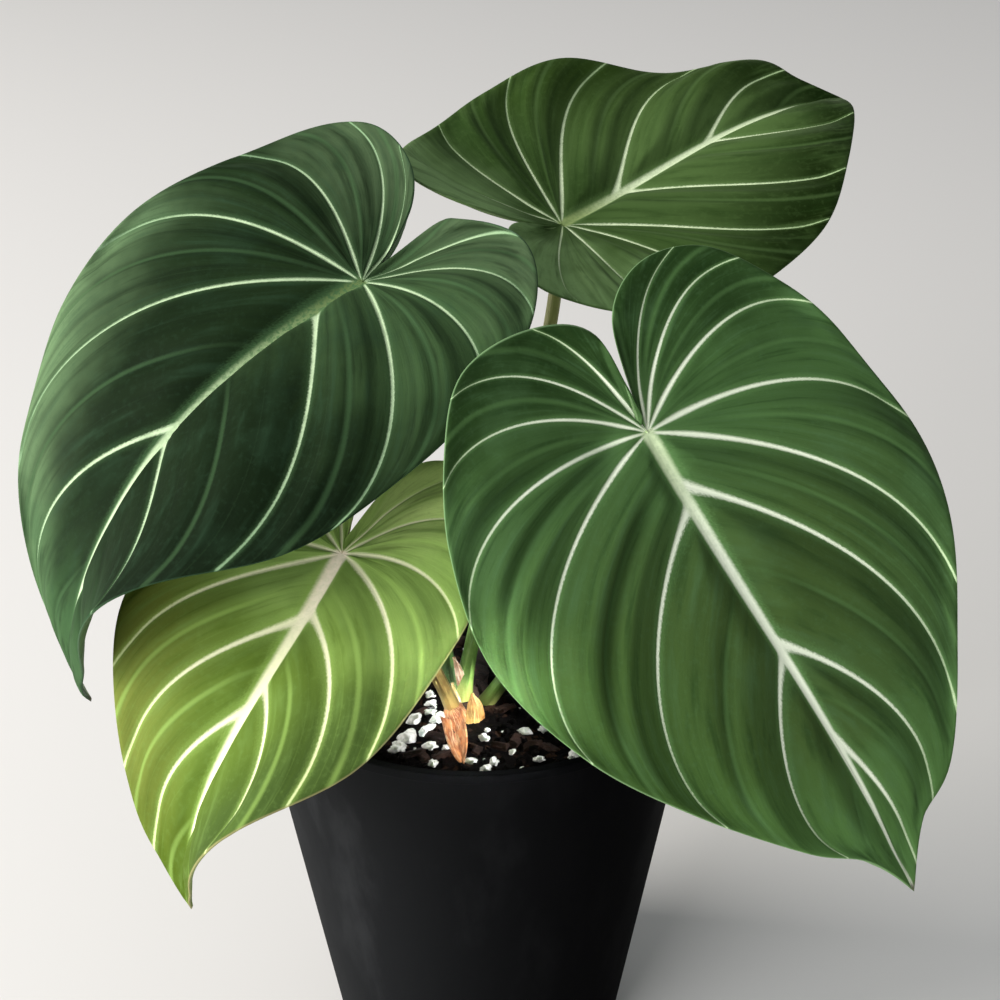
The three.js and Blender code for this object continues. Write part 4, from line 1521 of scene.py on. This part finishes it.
    def _perlite(self) -> None:
        """Strews the white lumps: those in view, those of the solid soil, and smaller ones."""
        bm = bmesh.new()
        dice = random.Random(23)
        self._lay_in_view(bm, self.perlite_in_view, 0.8, dice)
        for i, x, y, size in self._chip_spots():
            if i % self.bark_every and not self._in_view(x, y):
                self._lump(bm, 3, Vector((x, y, soil_height(x, y))), Vector((size, size, size)), dice)
        for number, (x, y) in enumerate(self._spots(self.perlite_count + self.dust_count, 1.6, dice)):
            is_dust = number >= self.perlite_count
            if self._in_view(x, y) != is_dust:
                continue
            size = dice.uniform(0.2, 0.4) if is_dust else 0.45 + 0.9 * dice.random() ** 2.5
            shape = Vector((size * dice.uniform(0.9, 1.5), size, size * 0.8))
            self._lump(bm, 2, Vector((x, y, soil_height(x, y) + 0.5 * size)), shape, dice)
        finish_piece("perlite", bm, [Finish.perlite()], None)

    def _lay_in_view(
        self,
        bm: bmesh.types.BMesh,
        lumps: Sequence[Lump],
        height: float,
        dice: random.Random,
        blunt: float = 1.0,
    ) -> None:
        """Lays the lumps of the open place.

        Args:
            bm: The mesh that takes them.
            lumps: Their places and sizes.
            height: Their height, as a share of their width.
            dice: The source of their shapes.
            blunt: 1 for balls, and less for blocks.
        """
        for lump in lumps:
            shape = Vector((lump.size * lump.stretch, lump.size, lump.size * height))
            spot = Vector((lump.x, lump.y, soil_height(lump.x, lump.y) + 0.35 * lump.size))
            self._lump(bm, 3, spot, shape, dice, blunt, lump.turn)

    def _bark(self) -> None:
        """Strews the brown flakes."""
        bm = bmesh.new()
        dice = random.Random(31)
        self._lay_in_view(bm, self.bark_in_view, 0.5, dice, self.BLOCK)
        for i, x, y, size in self._chip_spots():
            if i % self.bark_every == 0 and not self._in_view(x, y):
                shape = Vector((size * 1.3, size * 0.75, size * 0.5))
                self._lump(bm, 2, Vector((x, y, soil_height(x, y) + 0.3)), shape, dice, self.BLOCK)
        for x, y in self._spots(self.bark_count, 2.6, dice):
            shape = Vector((dice.uniform(1.2, 3.2), dice.uniform(0.8, 1.6), dice.uniform(0.4, 0.75)))
            if self._in_view(x, y):
                continue
            self._lump(bm, 2, Vector((x, y, soil_height(x, y) + 0.6)), shape, dice, self.BLOCK)
        finish_piece("bark_flakes", bm, [Finish.bark()], None)

    def build(self) -> None:
        """Builds the bed and all that lies in it."""
        self._bed()
        self._crumbs()
        self._perlite()
        self._bark()


# ---------------------------------------------------------------- creeping stem and sheaths


@dataclass(frozen=True)
class Rhizome:
    """The creeping stem, half buried, with its roots."""

    route: Sequence[Point]
    root_starts: Sequence[float]
    tip_radius: float = 3.4
    full_radius: float = 5.4
    ring_spacing: float = 7
    root_depth: float = 52
    root_reach: float = 22

    def build(self) -> None:
        """Models the stem with a ring at each old leaf, and its roots in the soil."""
        bm = bmesh.new()
        path = SmoothPath(self.route)

        def stem(turn: float, along: float) -> float:
            """Radius of the ringed stem."""
            growth = (self.full_radius - self.tip_radius) * min(1.0, along / 0.2)
            rings = abs(math.sin(along * path.length * math.pi / self.ring_spacing))
            spot = Vector((math.cos(turn * 6.28), math.sin(turn * 6.28), along * 9))
            return self.tip_radius + growth - 0.5 * (1 - rings) ** 3 + 0.22 * noise.noise(spot * 1.7)

        lay_tube(bm, path, stem, (36, 130), Vector((0, 0, 1)))
        for number, share in enumerate(self.root_starts):
            side = -1 if number % 2 == 0 else 1
            start = path.at(share)
            reach, depth = side * self.root_reach, self.root_depth
            near, middle = (reach * 0.35, 2, -depth * 0.15), (reach * 0.8, 5, -depth * 0.5)
            steps = ((0, 0, 0), near, middle, (reach, 3, -depth))
            root = SmoothPath([tuple(start + Vector(step)) for step in steps])
            lay_tube(bm, root, lambda turn, along: 1.3 - 0.5 * along, (10, 40), Vector((0, 1, 0)))
        finish_piece("creeping_stem", bm, [Finish.rhizome()], Slot.BARK, "rhizome")


@dataclass(frozen=True)
class Sheath:
    """A dry, pointed sheath: an arched strip with curled edges."""

    name: str
    route: Sequence[Point]
    width: float
    arch: float  # how far its middle stands over its edges
    up: Point
    colours: tuple[str, str, str]
    curl: float
    nodes: Sequence[str] = ()  # what it stands for
    thickness: float = 0.5
    cells: tuple[int, int] = (24, 48)

    def build(self) -> None:
        """Models the strip, wrinkles it and gives it its thickness."""
        bm = bmesh.new()
        path = SmoothPath(self.route)

        def place(share: float, along: float) -> Vector:
            """A place on the arched and wrinkled strip."""
            across = 2 * share - 1
            travel = path.direction(along)
            side = travel.cross(Vector(self.up)).normalized()
            over = side.cross(travel)
            narrowing = 1 - 0.95 * along**4
            curl = self.curl * abs(across) ** 5 * smooth(along, 0.1, 0.9)
            wrinkle = 0.45 * noise.noise(Vector((across * 3.1, along * 2.2, self.width))) * (1.2 - along)
            rise = self.arch * narrowing * (1 - across * across) + curl + wrinkle
            return path.at(along) + side * (across * self.width * narrowing / 2) + over * rise

        lay_sheet(bm, self.cells, place, (self.width / 10, path.length / 10))
        bmesh.ops.remove_doubles(bm, verts=bm.verts[:], dist=WELD * MM)
        bmesh.ops.recalc_face_normals(bm, faces=bm.faces[:])
        bmesh.ops.solidify(bm, geom=bm.faces[:], thickness=self.thickness * MM)
        material = Finish.sheath(f"{self.name}_skin", *self.colours)
        finish_piece(self.name, bm, [material], Slot.SHEATH, *self.nodes)


@dataclass(frozen=True)
class Collar:
    """The wrinkled, dry remains of a sheath round the foot of a stalk."""

    name: str
    route: Sequence[Point]
    radii: Pair  # at the foot and at the top
    colours: tuple[str, str, str]
    wrinkle: float = 0.5
    cells: tuple[int, int] = (40, 30)

    def build(self) -> None:
        """Models the collar."""
        bm = bmesh.new()

        def radius(turn: float, along: float) -> float:
            """Radius of the wrinkled collar."""
            spot = Vector((math.cos(turn * 2 * math.pi), math.sin(turn * 2 * math.pi), along * 2.4))
            plain = self.radii[0] + (self.radii[1] - self.radii[0]) * along
            return plain + self.wrinkle * noise.noise(spot * 2.6)

        lay_tube(bm, SmoothPath(self.route), radius, self.cells, Vector((0, 1, 0)))
        material = Finish.sheath(f"{self.name}_skin", *self.colours)
        finish_piece(self.name, bm, [material], Slot.SHEATH)


# ---------------------------------------------------------------- studio


@dataclass(frozen=True)
class SoftBox:
    """A soft lamp that looks at the plant."""

    name: str
    place: Point  # metres
    side: float
    power: float
    colour: Point = (1.0, 1.0, 1.0)
    target: Point = (0.0, 0.0, 0.18)
    spread: float = 180.0  # degrees

    def build(self) -> None:
        """Hangs the lamp and aims it."""
        lamp = bpy.data.lights.new(self.name, "AREA")
        lamp.shape = "SQUARE"
        lamp.size = self.side
        lamp.energy = self.power
        lamp.color = self.colour
        lamp.spread = math.radians(self.spread)
        holder = put_in_scene(self.name, lamp)
        holder.location = self.place
        way = Vector(self.target) - Vector(self.place)
        holder.rotation_euler = way.to_track_quat("-Z", "Y").to_euler()


@dataclass(frozen=True)
class Studio:
    """The camera, the pale floor and the soft light."""

    camera_place: Point = (6.9, -474.9, 424.8)
    look_down: float = 28.05
    tilt: float = -0.25
    focal_pixels: float = 1999.0
    image_pixels: float = 1000.0
    sensor: float = 36.0
    floor_side: float = 6.0
    floor_colour: str = "e1deda"
    sky: Point = (0.86, 0.90, 0.94)
    sky_strength: float = 0.38
    lamps: Sequence[SoftBox] = (
        SoftBox("window", (-2.24, -0.2, 0.98), 1.5, 89.0, (1.0, 0.98, 0.95)),
        SoftBox("fill", (-1.38, -1.6, 0.86), 1.6, 48.0, (0.97, 0.98, 1.0)),
        SoftBox("crown", (0.03, -0.5, 0.442), 0.02, 0.008, target=(-0.001, -0.027, 0.122), spread=4.5),
    )

    def _camera(self) -> None:
        """Sets the camera up in front of the plant, looking down on it."""
        camera = bpy.data.cameras.new("camera")
        camera.sensor_width = self.sensor
        camera.lens = self.focal_pixels / self.image_pixels * self.sensor
        camera.clip_start = 0.01
        holder = put_in_scene("camera", camera)
        turn = Matrix.Rotation(math.radians(90 - self.look_down), 4, "X")
        turn = turn @ Matrix.Rotation(math.radians(self.tilt), 4, "Z")
        holder.matrix_world = Matrix.Translation(Vector(self.camera_place) * MM) @ turn
        bpy.context.scene.camera = holder

    def _floor(self) -> None:
        """Lays the plain floor."""
        bm = bmesh.new()
        bmesh.ops.create_grid(bm, x_segments=1, y_segments=1, size=self.floor_side / 2)
        floor = put_in_scene("floor", mesh_of("floor", bm))
        shade = Shade("floor_pale")
        shade.set(base_color=linear(self.floor_colour), roughness=0.75, specular_ior_level=0.2)
        floor.data.materials.append(shade.material)

    def build(self) -> None:
        """Builds the whole studio."""
        self._camera()
        self._floor()
        world = bpy.data.worlds.new("studio")
        world.use_nodes = True
        background = world.node_tree.nodes["Background"]
        background.inputs["Color"].default_value = (*self.sky, 1.0)
        background.inputs["Strength"].default_value = self.sky_strength
        bpy.context.scene.world = world
        bpy.context.scene.view_settings.view_transform = "Standard"
        for lamp in self.lamps:
            lamp.build()


# ---------------------------------------------------------------- the plant

DARK = LeafFinish(
    name="velvet_dark",
    slot=Slot.LEAF_DARK,
    inner="121f0e",
    # painted light and shade: the right half's pale outer green is a painted sheen where its margin curls
    # towards the light, its left one painted shade; round the petiole the left half is painted paler
    outer_greens_and_painted_light=("0d190b", "627c56"),
    base_greens_and_painted_light=("354b2c", "1b2b15"),
    lobe="405237",
    shadow="0e190c",
    lit="283e2b",
    vein="aec29c",
    vein_end="7d9a74",
    knot="5c7044",
    minor="45633f",
    margin="375238",
    point="375231",
    tip="61442f",
    back="577351",
    glow=0.25,
    faint=0.33,
    sheen=0.12,
    sheen_roughness=0.3,
    mottle=0.9,
    specks=True,
    knot_reach=0.65,
    pleat_painted_shade=0.4,
    turning=(0.36, 1.04),
)
MIDDLE_BACK = LeafFinish(
    name="velvet_olive",
    slot=Slot.LEAF_MID,
    inner="486032",
    # painted light and shade: the right half is darker towards its margin and paler round the petiole
    outer_greens_and_painted_light=("2e4317", "152406"),
    base_greens_and_painted_light=("2f451e", "40582b"),
    # painted sheen: the pale lobe green stands partly for sheen on the lobes
    lobe="84a46a",
    shadow="203512",
    lit="516b3a",
    vein="e2f0c6",
    vein_end="b4cd98",
    knot="98ac6c",
    minor="66844d",
    margin="375024",
    point="152607",
    tip="55522b",
    back="667d4b",
    glow=0.3,
    faint=0.25,
    sheen=0.1,
    pleat_painted_shade=0.35,
)
MIDDLE_FRONT = LeafFinish(
    name="velvet_green",
    slot=Slot.LEAF_MID,
    inner="435a2d",
    # painted light and shade: the two halves differ a little
    outer_greens_and_painted_light=("38512b", "405c2b"),
    base_greens_and_painted_light=("476738", "446235"),
    lobe="283f1d",
    shadow="1f3819",
    lit="4f6f48",
    vein="f8ffe4",
    vein_end="c8dfae",
    knot="dff0c0",
    minor="6a9357",
    margin="7c9b6e",
    point="547940",
    tip="443d22",
    back="6b8756",
    glow=0.4,
    faint=0.25,
    sheen=0.08,
    mottle=0.15,
    dull=0.08,
    pleat_painted_shade=0.15,
)
YOUNG = LeafFinish(
    name="velvet_young",
    slot=Slot.LEAF_YOUNG,
    inner="566c28",
    # painted light and shade: the right half is paler towards its margin and round the petiole, the left
    # half darker
    outer_greens_and_painted_light=("3b4e22", "667030"),
    base_greens_and_painted_light=("7c984c", "8aa65a"),
    # painted light: the pale lobe green stands partly for the light on the lobe that faces it
    lobe="b6cc7c",
    shadow="435819",
    lit="6a8644",
    vein="e0dfb8",
    vein_end="ccd898",
    knot="f4e6d0",
    minor="88a654",
    margin="a69b6e",
    point="455815",
    tip="849345",
    back="7f9347",
    glow=0.4,
    faint=0.5,
    sheen=0.06,
    mottle=0.12,
    dull=0.12,
    pleat_painted_shade=0.1,
)
GREEN_STALK = StalkFinish(
    "stalk_skin_green", Slot.STALK_GREEN, "5f8c3c", "3f6428", "9cc074", "7d8044", "6c8a4c"
)
# a paler copy of the green skin, as painted light, for the stalk that stands in the light
PAINTED_LIT_STALK = StalkFinish(
    "stalk_skin_bright", Slot.STALK_GREEN, "94c060", "729e46", "b8d88c", "b8aa5c", "a89c6c"
)
# a darker copy of the green skin, as painted shade, for the stalk that stands in deep shade
PAINTED_SHADE_STALK = StalkFinish(
    "stalk_skin_deep", Slot.STALK_GREEN, "4c6c34", "35502a", "76955a", "5f6a38", "5c7444"
)
BROWN_STALK = StalkFinish(
    "stalk_skin_brown", Slot.STALK_BROWN, "92804a", "6e5a30", "b8a46c", "a8743c", "c8b48c"
)

PLAN_A = LeafPlan(
    letter="a",
    junction=(-27.5, -8, 238.5),
    length=141,
    heading=-54,
    pitch=-16.5,
    roll=2.5,
    twist=10.5,
    droop=(-34, -47, -18),
    lobe_pitch=-12.5,
    turn=(-13.5, -2),
    bow=(20.5, 52),
    left=Half(
        radii=(23, 29.5, 45, 53, 61, 71.5, 87, 98.5, 115.5, 128.5),
        fold=13.5,
        cup=-48,
        lobe=5.5,
        lifts=(4, 0.5, 1, -2.5, -2.5, 6.5, -4),
        veins=(0.175, 0.275, 0.4, 0.56, 0.66, 0.77),
        ribs=(14.5, 64),
    ),
    right=Half(
        radii=(25, 36, 46.5, 54, 60.5, 70.5, 87, 96.5, 117, 129.5),
        fold=29.5,
        cup=-19.5,
        lobe=10.5,
        lifts=(5, 2.5, -0.5, 1, -2.5, 0.5, -2.5),
        veins=(0.135, 0.215, 0.345, 0.525, 0.76, 0.895),
        ribs=(59,),
    ),
    petiole=((-5.2, -17, 119), (-7.2, -17, 130), (-13, -15, 168), (-22, -11, 212)),
    vein_width=(0.7, 0.24),
    rib_width=(2.0, 0.8),
    rib_shift=2.8,
    calm_tip=0.9,
)
PLAN_B = LeafPlan(
    letter="b",
    junction=(24, 33, 238.5),
    length=117,
    heading=135.5,
    pitch=4,
    roll=5.5,
    twist=-4,
    droop=(38, -55, 2.5),
    lobe_pitch=-9.5,
    turn=(-6, -17),
    bow=(7, 25.5),
    left=Half(
        radii=(29.5, 41, 45.5, 47.5, 49.5, 57.5, 71.5, 83, 102, 106),
        fold=16.5,
        cup=1,
        lobe=7,
        lifts=(6, 3, -1, -0.5, 0, -6, 2),
        veins=(0.31, 0.39, 0.54, 0.68, 0.8, 0.915),
        ribs=(21, 58.5),
    ),
    right=Half(
        radii=(29.5, 43, 46, 48.5, 52, 59.5, 72, 84, 99.5, 107.5),
        fold=10,
        cup=-28.5,
        lobe=-0.5,
        lifts=(9.5, 1, -2, -2, -0.5, 1.5, 3),
        veins=(0.245, 0.355, 0.49, 0.63, 0.725, 0.855),
        ribs=(24.5, 60.5),
    ),
    petiole=((-3.2, -19.5, 118.5), (-2.3, -17, 128.4), (9.6, -5, 177.4), (20.4, 15, 216)),
    vein_width=(0.65, 0.22),
    rib_width=(1.7, 0.4),
)
PLAN_C = LeafPlan(
    letter="c",
    junction=(42, -54, 218.5),
    length=125,
    heading=48.5,
    pitch=-50,
    roll=8,
    twist=0.5,
    droop=(20.5, -29.5, -8.5),
    lobe_pitch=12.5,
    turn=(3.5, 10.5),
    bow=(29, 52.5),
    left=Half(
        radii=(28.5, 42, 50, 53, 60, 70.5, 78.5, 90, 107, 112.5),
        fold=11.5,
        cup=-1.5,
        lobe=0.5,
        lifts=(-1, -0.5, 1, -1.5, 3.5, 1, -0.5),
        veins=(0.205, 0.275, 0.36, 0.52, 0.695, 0.82, 0.91, 0.975),
        ribs=(14, 57.5, 82.5),
    ),
    right=Half(
        radii=(26, 39, 49, 52.5, 59, 70.5, 80.5, 90, 103.5, 111.5),
        fold=-3.5,
        cup=-11.5,
        lobe=3,
        lifts=(5.5, 1, 0, -0.5, 2, 0.5, 1),
        veins=(0.15, 0.255, 0.34, 0.47, 0.63, 0.775, 0.905),
        ribs=(19.5, 60.5),
        sinus=170.5,
        creases=(13.3, 16.3, 19.9),
        vein_share=0.8,
    ),
    petiole=((1.6, -17.5, 117), (5.9, -19, 124), (20, -27, 158), (34, -42, 198)),
    vein_width=(0.95, 0.2),
    rib_width=(1.9, 0.5),
)
PLAN_D = LeafPlan(
    letter="d",
    junction=(-31.5, -56, 187.5),
    length=100,
    heading=-30,
    pitch=-34,
    roll=7,
    twist=-4,
    droop=(1.5, -68, -0.5),
    lobe_pitch=1.5,
    turn=(-40.5, 11.5),
    bow=(20, 33),
    left=Half(
        radii=(25, 34, 38.5, 41.5, 44.5, 50, 59.5, 69, 82.5, 91.5),
        fold=17,
        cup=-29,
        lobe=-3,
        lifts=(0, -1, 0, -0.5, -2, 7, 0),
        veins=(0.215, 0.325, 0.465, 0.605, 0.685, 0.775),
        ribs=(16.5, 37),
    ),
    right=Half(
        radii=(24.5, 34.5, 38.5, 41.5, 44.5, 49.5, 60, 70.5, 84, 91),
        fold=21,
        cup=-4,
        lobe=0,
        lifts=(0, 0, -0.5, -0.5, 1.5, 1.5, 1),
        veins=(0.22, 0.34, 0.5, 0.685, 0.81, 0.915),
        ribs=(18.5, 43.5),
    ),
    petiole=((-4.6, -26, 118.5), (-8.6, -28.6, 131), (-16, -36, 153), (-25.5, -47.5, 175)),
    vein_width=(0.95, 0.28),
    rib_width=(2.1, 0.5),
)
PERLITE_IN_VIEW = (
    Lump(-12.5, -16.2, 1.2, 1.1),
    Lump(-11.9, -20.8, 1.2, 1.4),
    Lump(-16.2, -28.2, 1.7, 1.3, 30),
    Lump(-9.9, -27.6, 1.7, 1.5, 50),
    Lump(-12.9, -32.6, 1.2, 2.4, 55),
    Lump(-18, -37.1, 2.3, 1.1),
    Lump(-20.4, -41.2, 1.6, 1.5, 20),
    Lump(-11.9, -39.9, 1.4, 1.5, 10),
    Lump(-7.4, -40.6, 1.1, 1.2, 90),
    Lump(-10.9, -47.1, 1.2, 1.1),
    Lump(-0.9, -46, 1, 1.6),
    Lump(5, -46.2, 1.3, 1.3, 60),
    Lump(2.7, -49.4, 1.2, 1.4, 40),
    Lump(2.4, -34.9, 1.2, 1.2),
    Lump(13.3, -31.8, 1.1, 1.6),
    Lump(18.2, -30.9, 1, 1.2),
    Lump(9.8, -41, 0.9, 1.2, 90),
    Lump(17.1, -44.6, 1.1, 1.4),
    Lump(12.4, -49, 0.7),
    Lump(19.1, -48.2, 0.7, 1.4),
    Lump(3.2, -31.2, 0.7),
    Lump(-12.3, -24.4, 0.9, 1.8),
)
BARK_IN_VIEW = (
    Lump(-16.5, -43.4, 1.5, 2.2, 20),
    Lump(-10.4, -36, 1.4, 1.9, 150),
    Lump(-8.8, -43.6, 1.5, 1.7, 35),
    Lump(-13.4, -44.6, 1.2, 1.6, 110),
    Lump(-14.6, -24, 1.1, 1.8, 40),
    Lump(-7.4, -33.2, 1.3, 1.6, 120),
    Lump(6.5, -38.5, 1.2, 1.8, 160),
    Lump(11, -36, 1.4, 1.6, 60),
    Lump(15.5, -38, 1.2, 2, 15),
    Lump(0.5, -40.8, 1.1, 1.5, 70),
    Lump(20, -40, 1.3, 1.7, 130),
    Lump(8, -22, 1.6, 1.8, 30),
    Lump(-0.5, -11, 2.4, 1.5, 70),
    Lump(2.5, -14.5, 2.0, 1.6, 100),
)
SHEATHS = (
    Sheath(
        name="sheath_fallen",
        nodes=("sheath_front",),
        route=(
            (-6.6, -29.6, 123.3),
            (-5.8, -33, 122.8),
            (-5, -37.4, 122.2),
            (-4.1, -42, 121),
            (-3.3, -47, 119.2),
        ),
        width=5.4,
        arch=-2.3,
        up=(-0.3, -0.35, 0.85),
        colours=("d8925c", "9c5c36", "f2d6b0"),
        curl=0.9,
    ),
    Sheath(
        name="sheath_pointed",
        nodes=("sheath_side",),
        route=((0, -26.9, 117.2), (-0.1, -27.3, 120), (-0.3, -27.2, 123.4), (-0.9, -26.2, 126.9)),
        width=4.6,
        arch=1.3,
        up=(0.35, -0.93, 0.1),
        colours=("d89a58", "9c6830", "f0cc8c"),
        curl=0.3,
    ),
    Collar(
        name="sheath_collar",
        route=((-4.3, -26.2, 117.5), (-5.2, -26.9, 120.5), (-6.6, -27.7, 124.6)),
        radii=(3.3, 2.7),
        colours=("d08a58", "8e5430", "f0cfa2"),
    ),
    Sheath(
        name="sheath_scrap_back",
        route=((-3.4, -17.5, 120), (-3.9, -18.2, 126), (-4.6, -18.8, 130), (-5.8, -19.2, 134.2)),
        width=2.8,
        arch=0.5,
        up=(0.1, -0.95, 0.2),
        colours=("efc9b0", "c08a70", "fff4e4"),
        curl=0.5,
    ),
    Sheath(
        name="sheath_scrap_low",
        route=((-5.0, -20.8, 117.5), (-5.5, -21, 121), (-6.0, -21, 124.2), (-6.2, -20.8, 127)),
        width=2.4,
        arch=0.5,
        up=(0.1, -0.95, 0.2),
        colours=("efd9a8", "c8a468", "fff6dc"),
        curl=0.3,
    ),
)
RHIZOME = Rhizome(
    route=((-4, -31, 114.5), (-3, -22, 115.3), (-1, -8, 117), (1, 6, 117.5), (3, 21, 116.5)),
    root_starts=(0.22, 0.4, 0.58, 0.76),
)


LEAVES = (
    Leaf(PLAN_A, DARK, PAINTED_SHADE_STALK),
    Leaf(PLAN_B, MIDDLE_BACK, PAINTED_LIT_STALK),
    Leaf(PLAN_C, MIDDLE_FRONT, GREEN_STALK),
    Leaf(PLAN_D, YOUNG, BROWN_STALK),
)


def main() -> None:
    """Builds the studio, the pot, the potting mix and the plant."""
    logging.basicConfig(level=logging.INFO, format="%(name)s: %(message)s")
    feet = [leaf.plan.petiole[0] for leaf in LEAVES]
    mix = PottingMix(perlite_in_view=PERLITE_IN_VIEW, bark_in_view=BARK_IN_VIEW, feet=feet)
    for assembly in (Studio(), Pot(), mix, RHIZOME, *LEAVES, *SHEATHS):
        assembly.build()


if __name__ == "__main__":
    main()
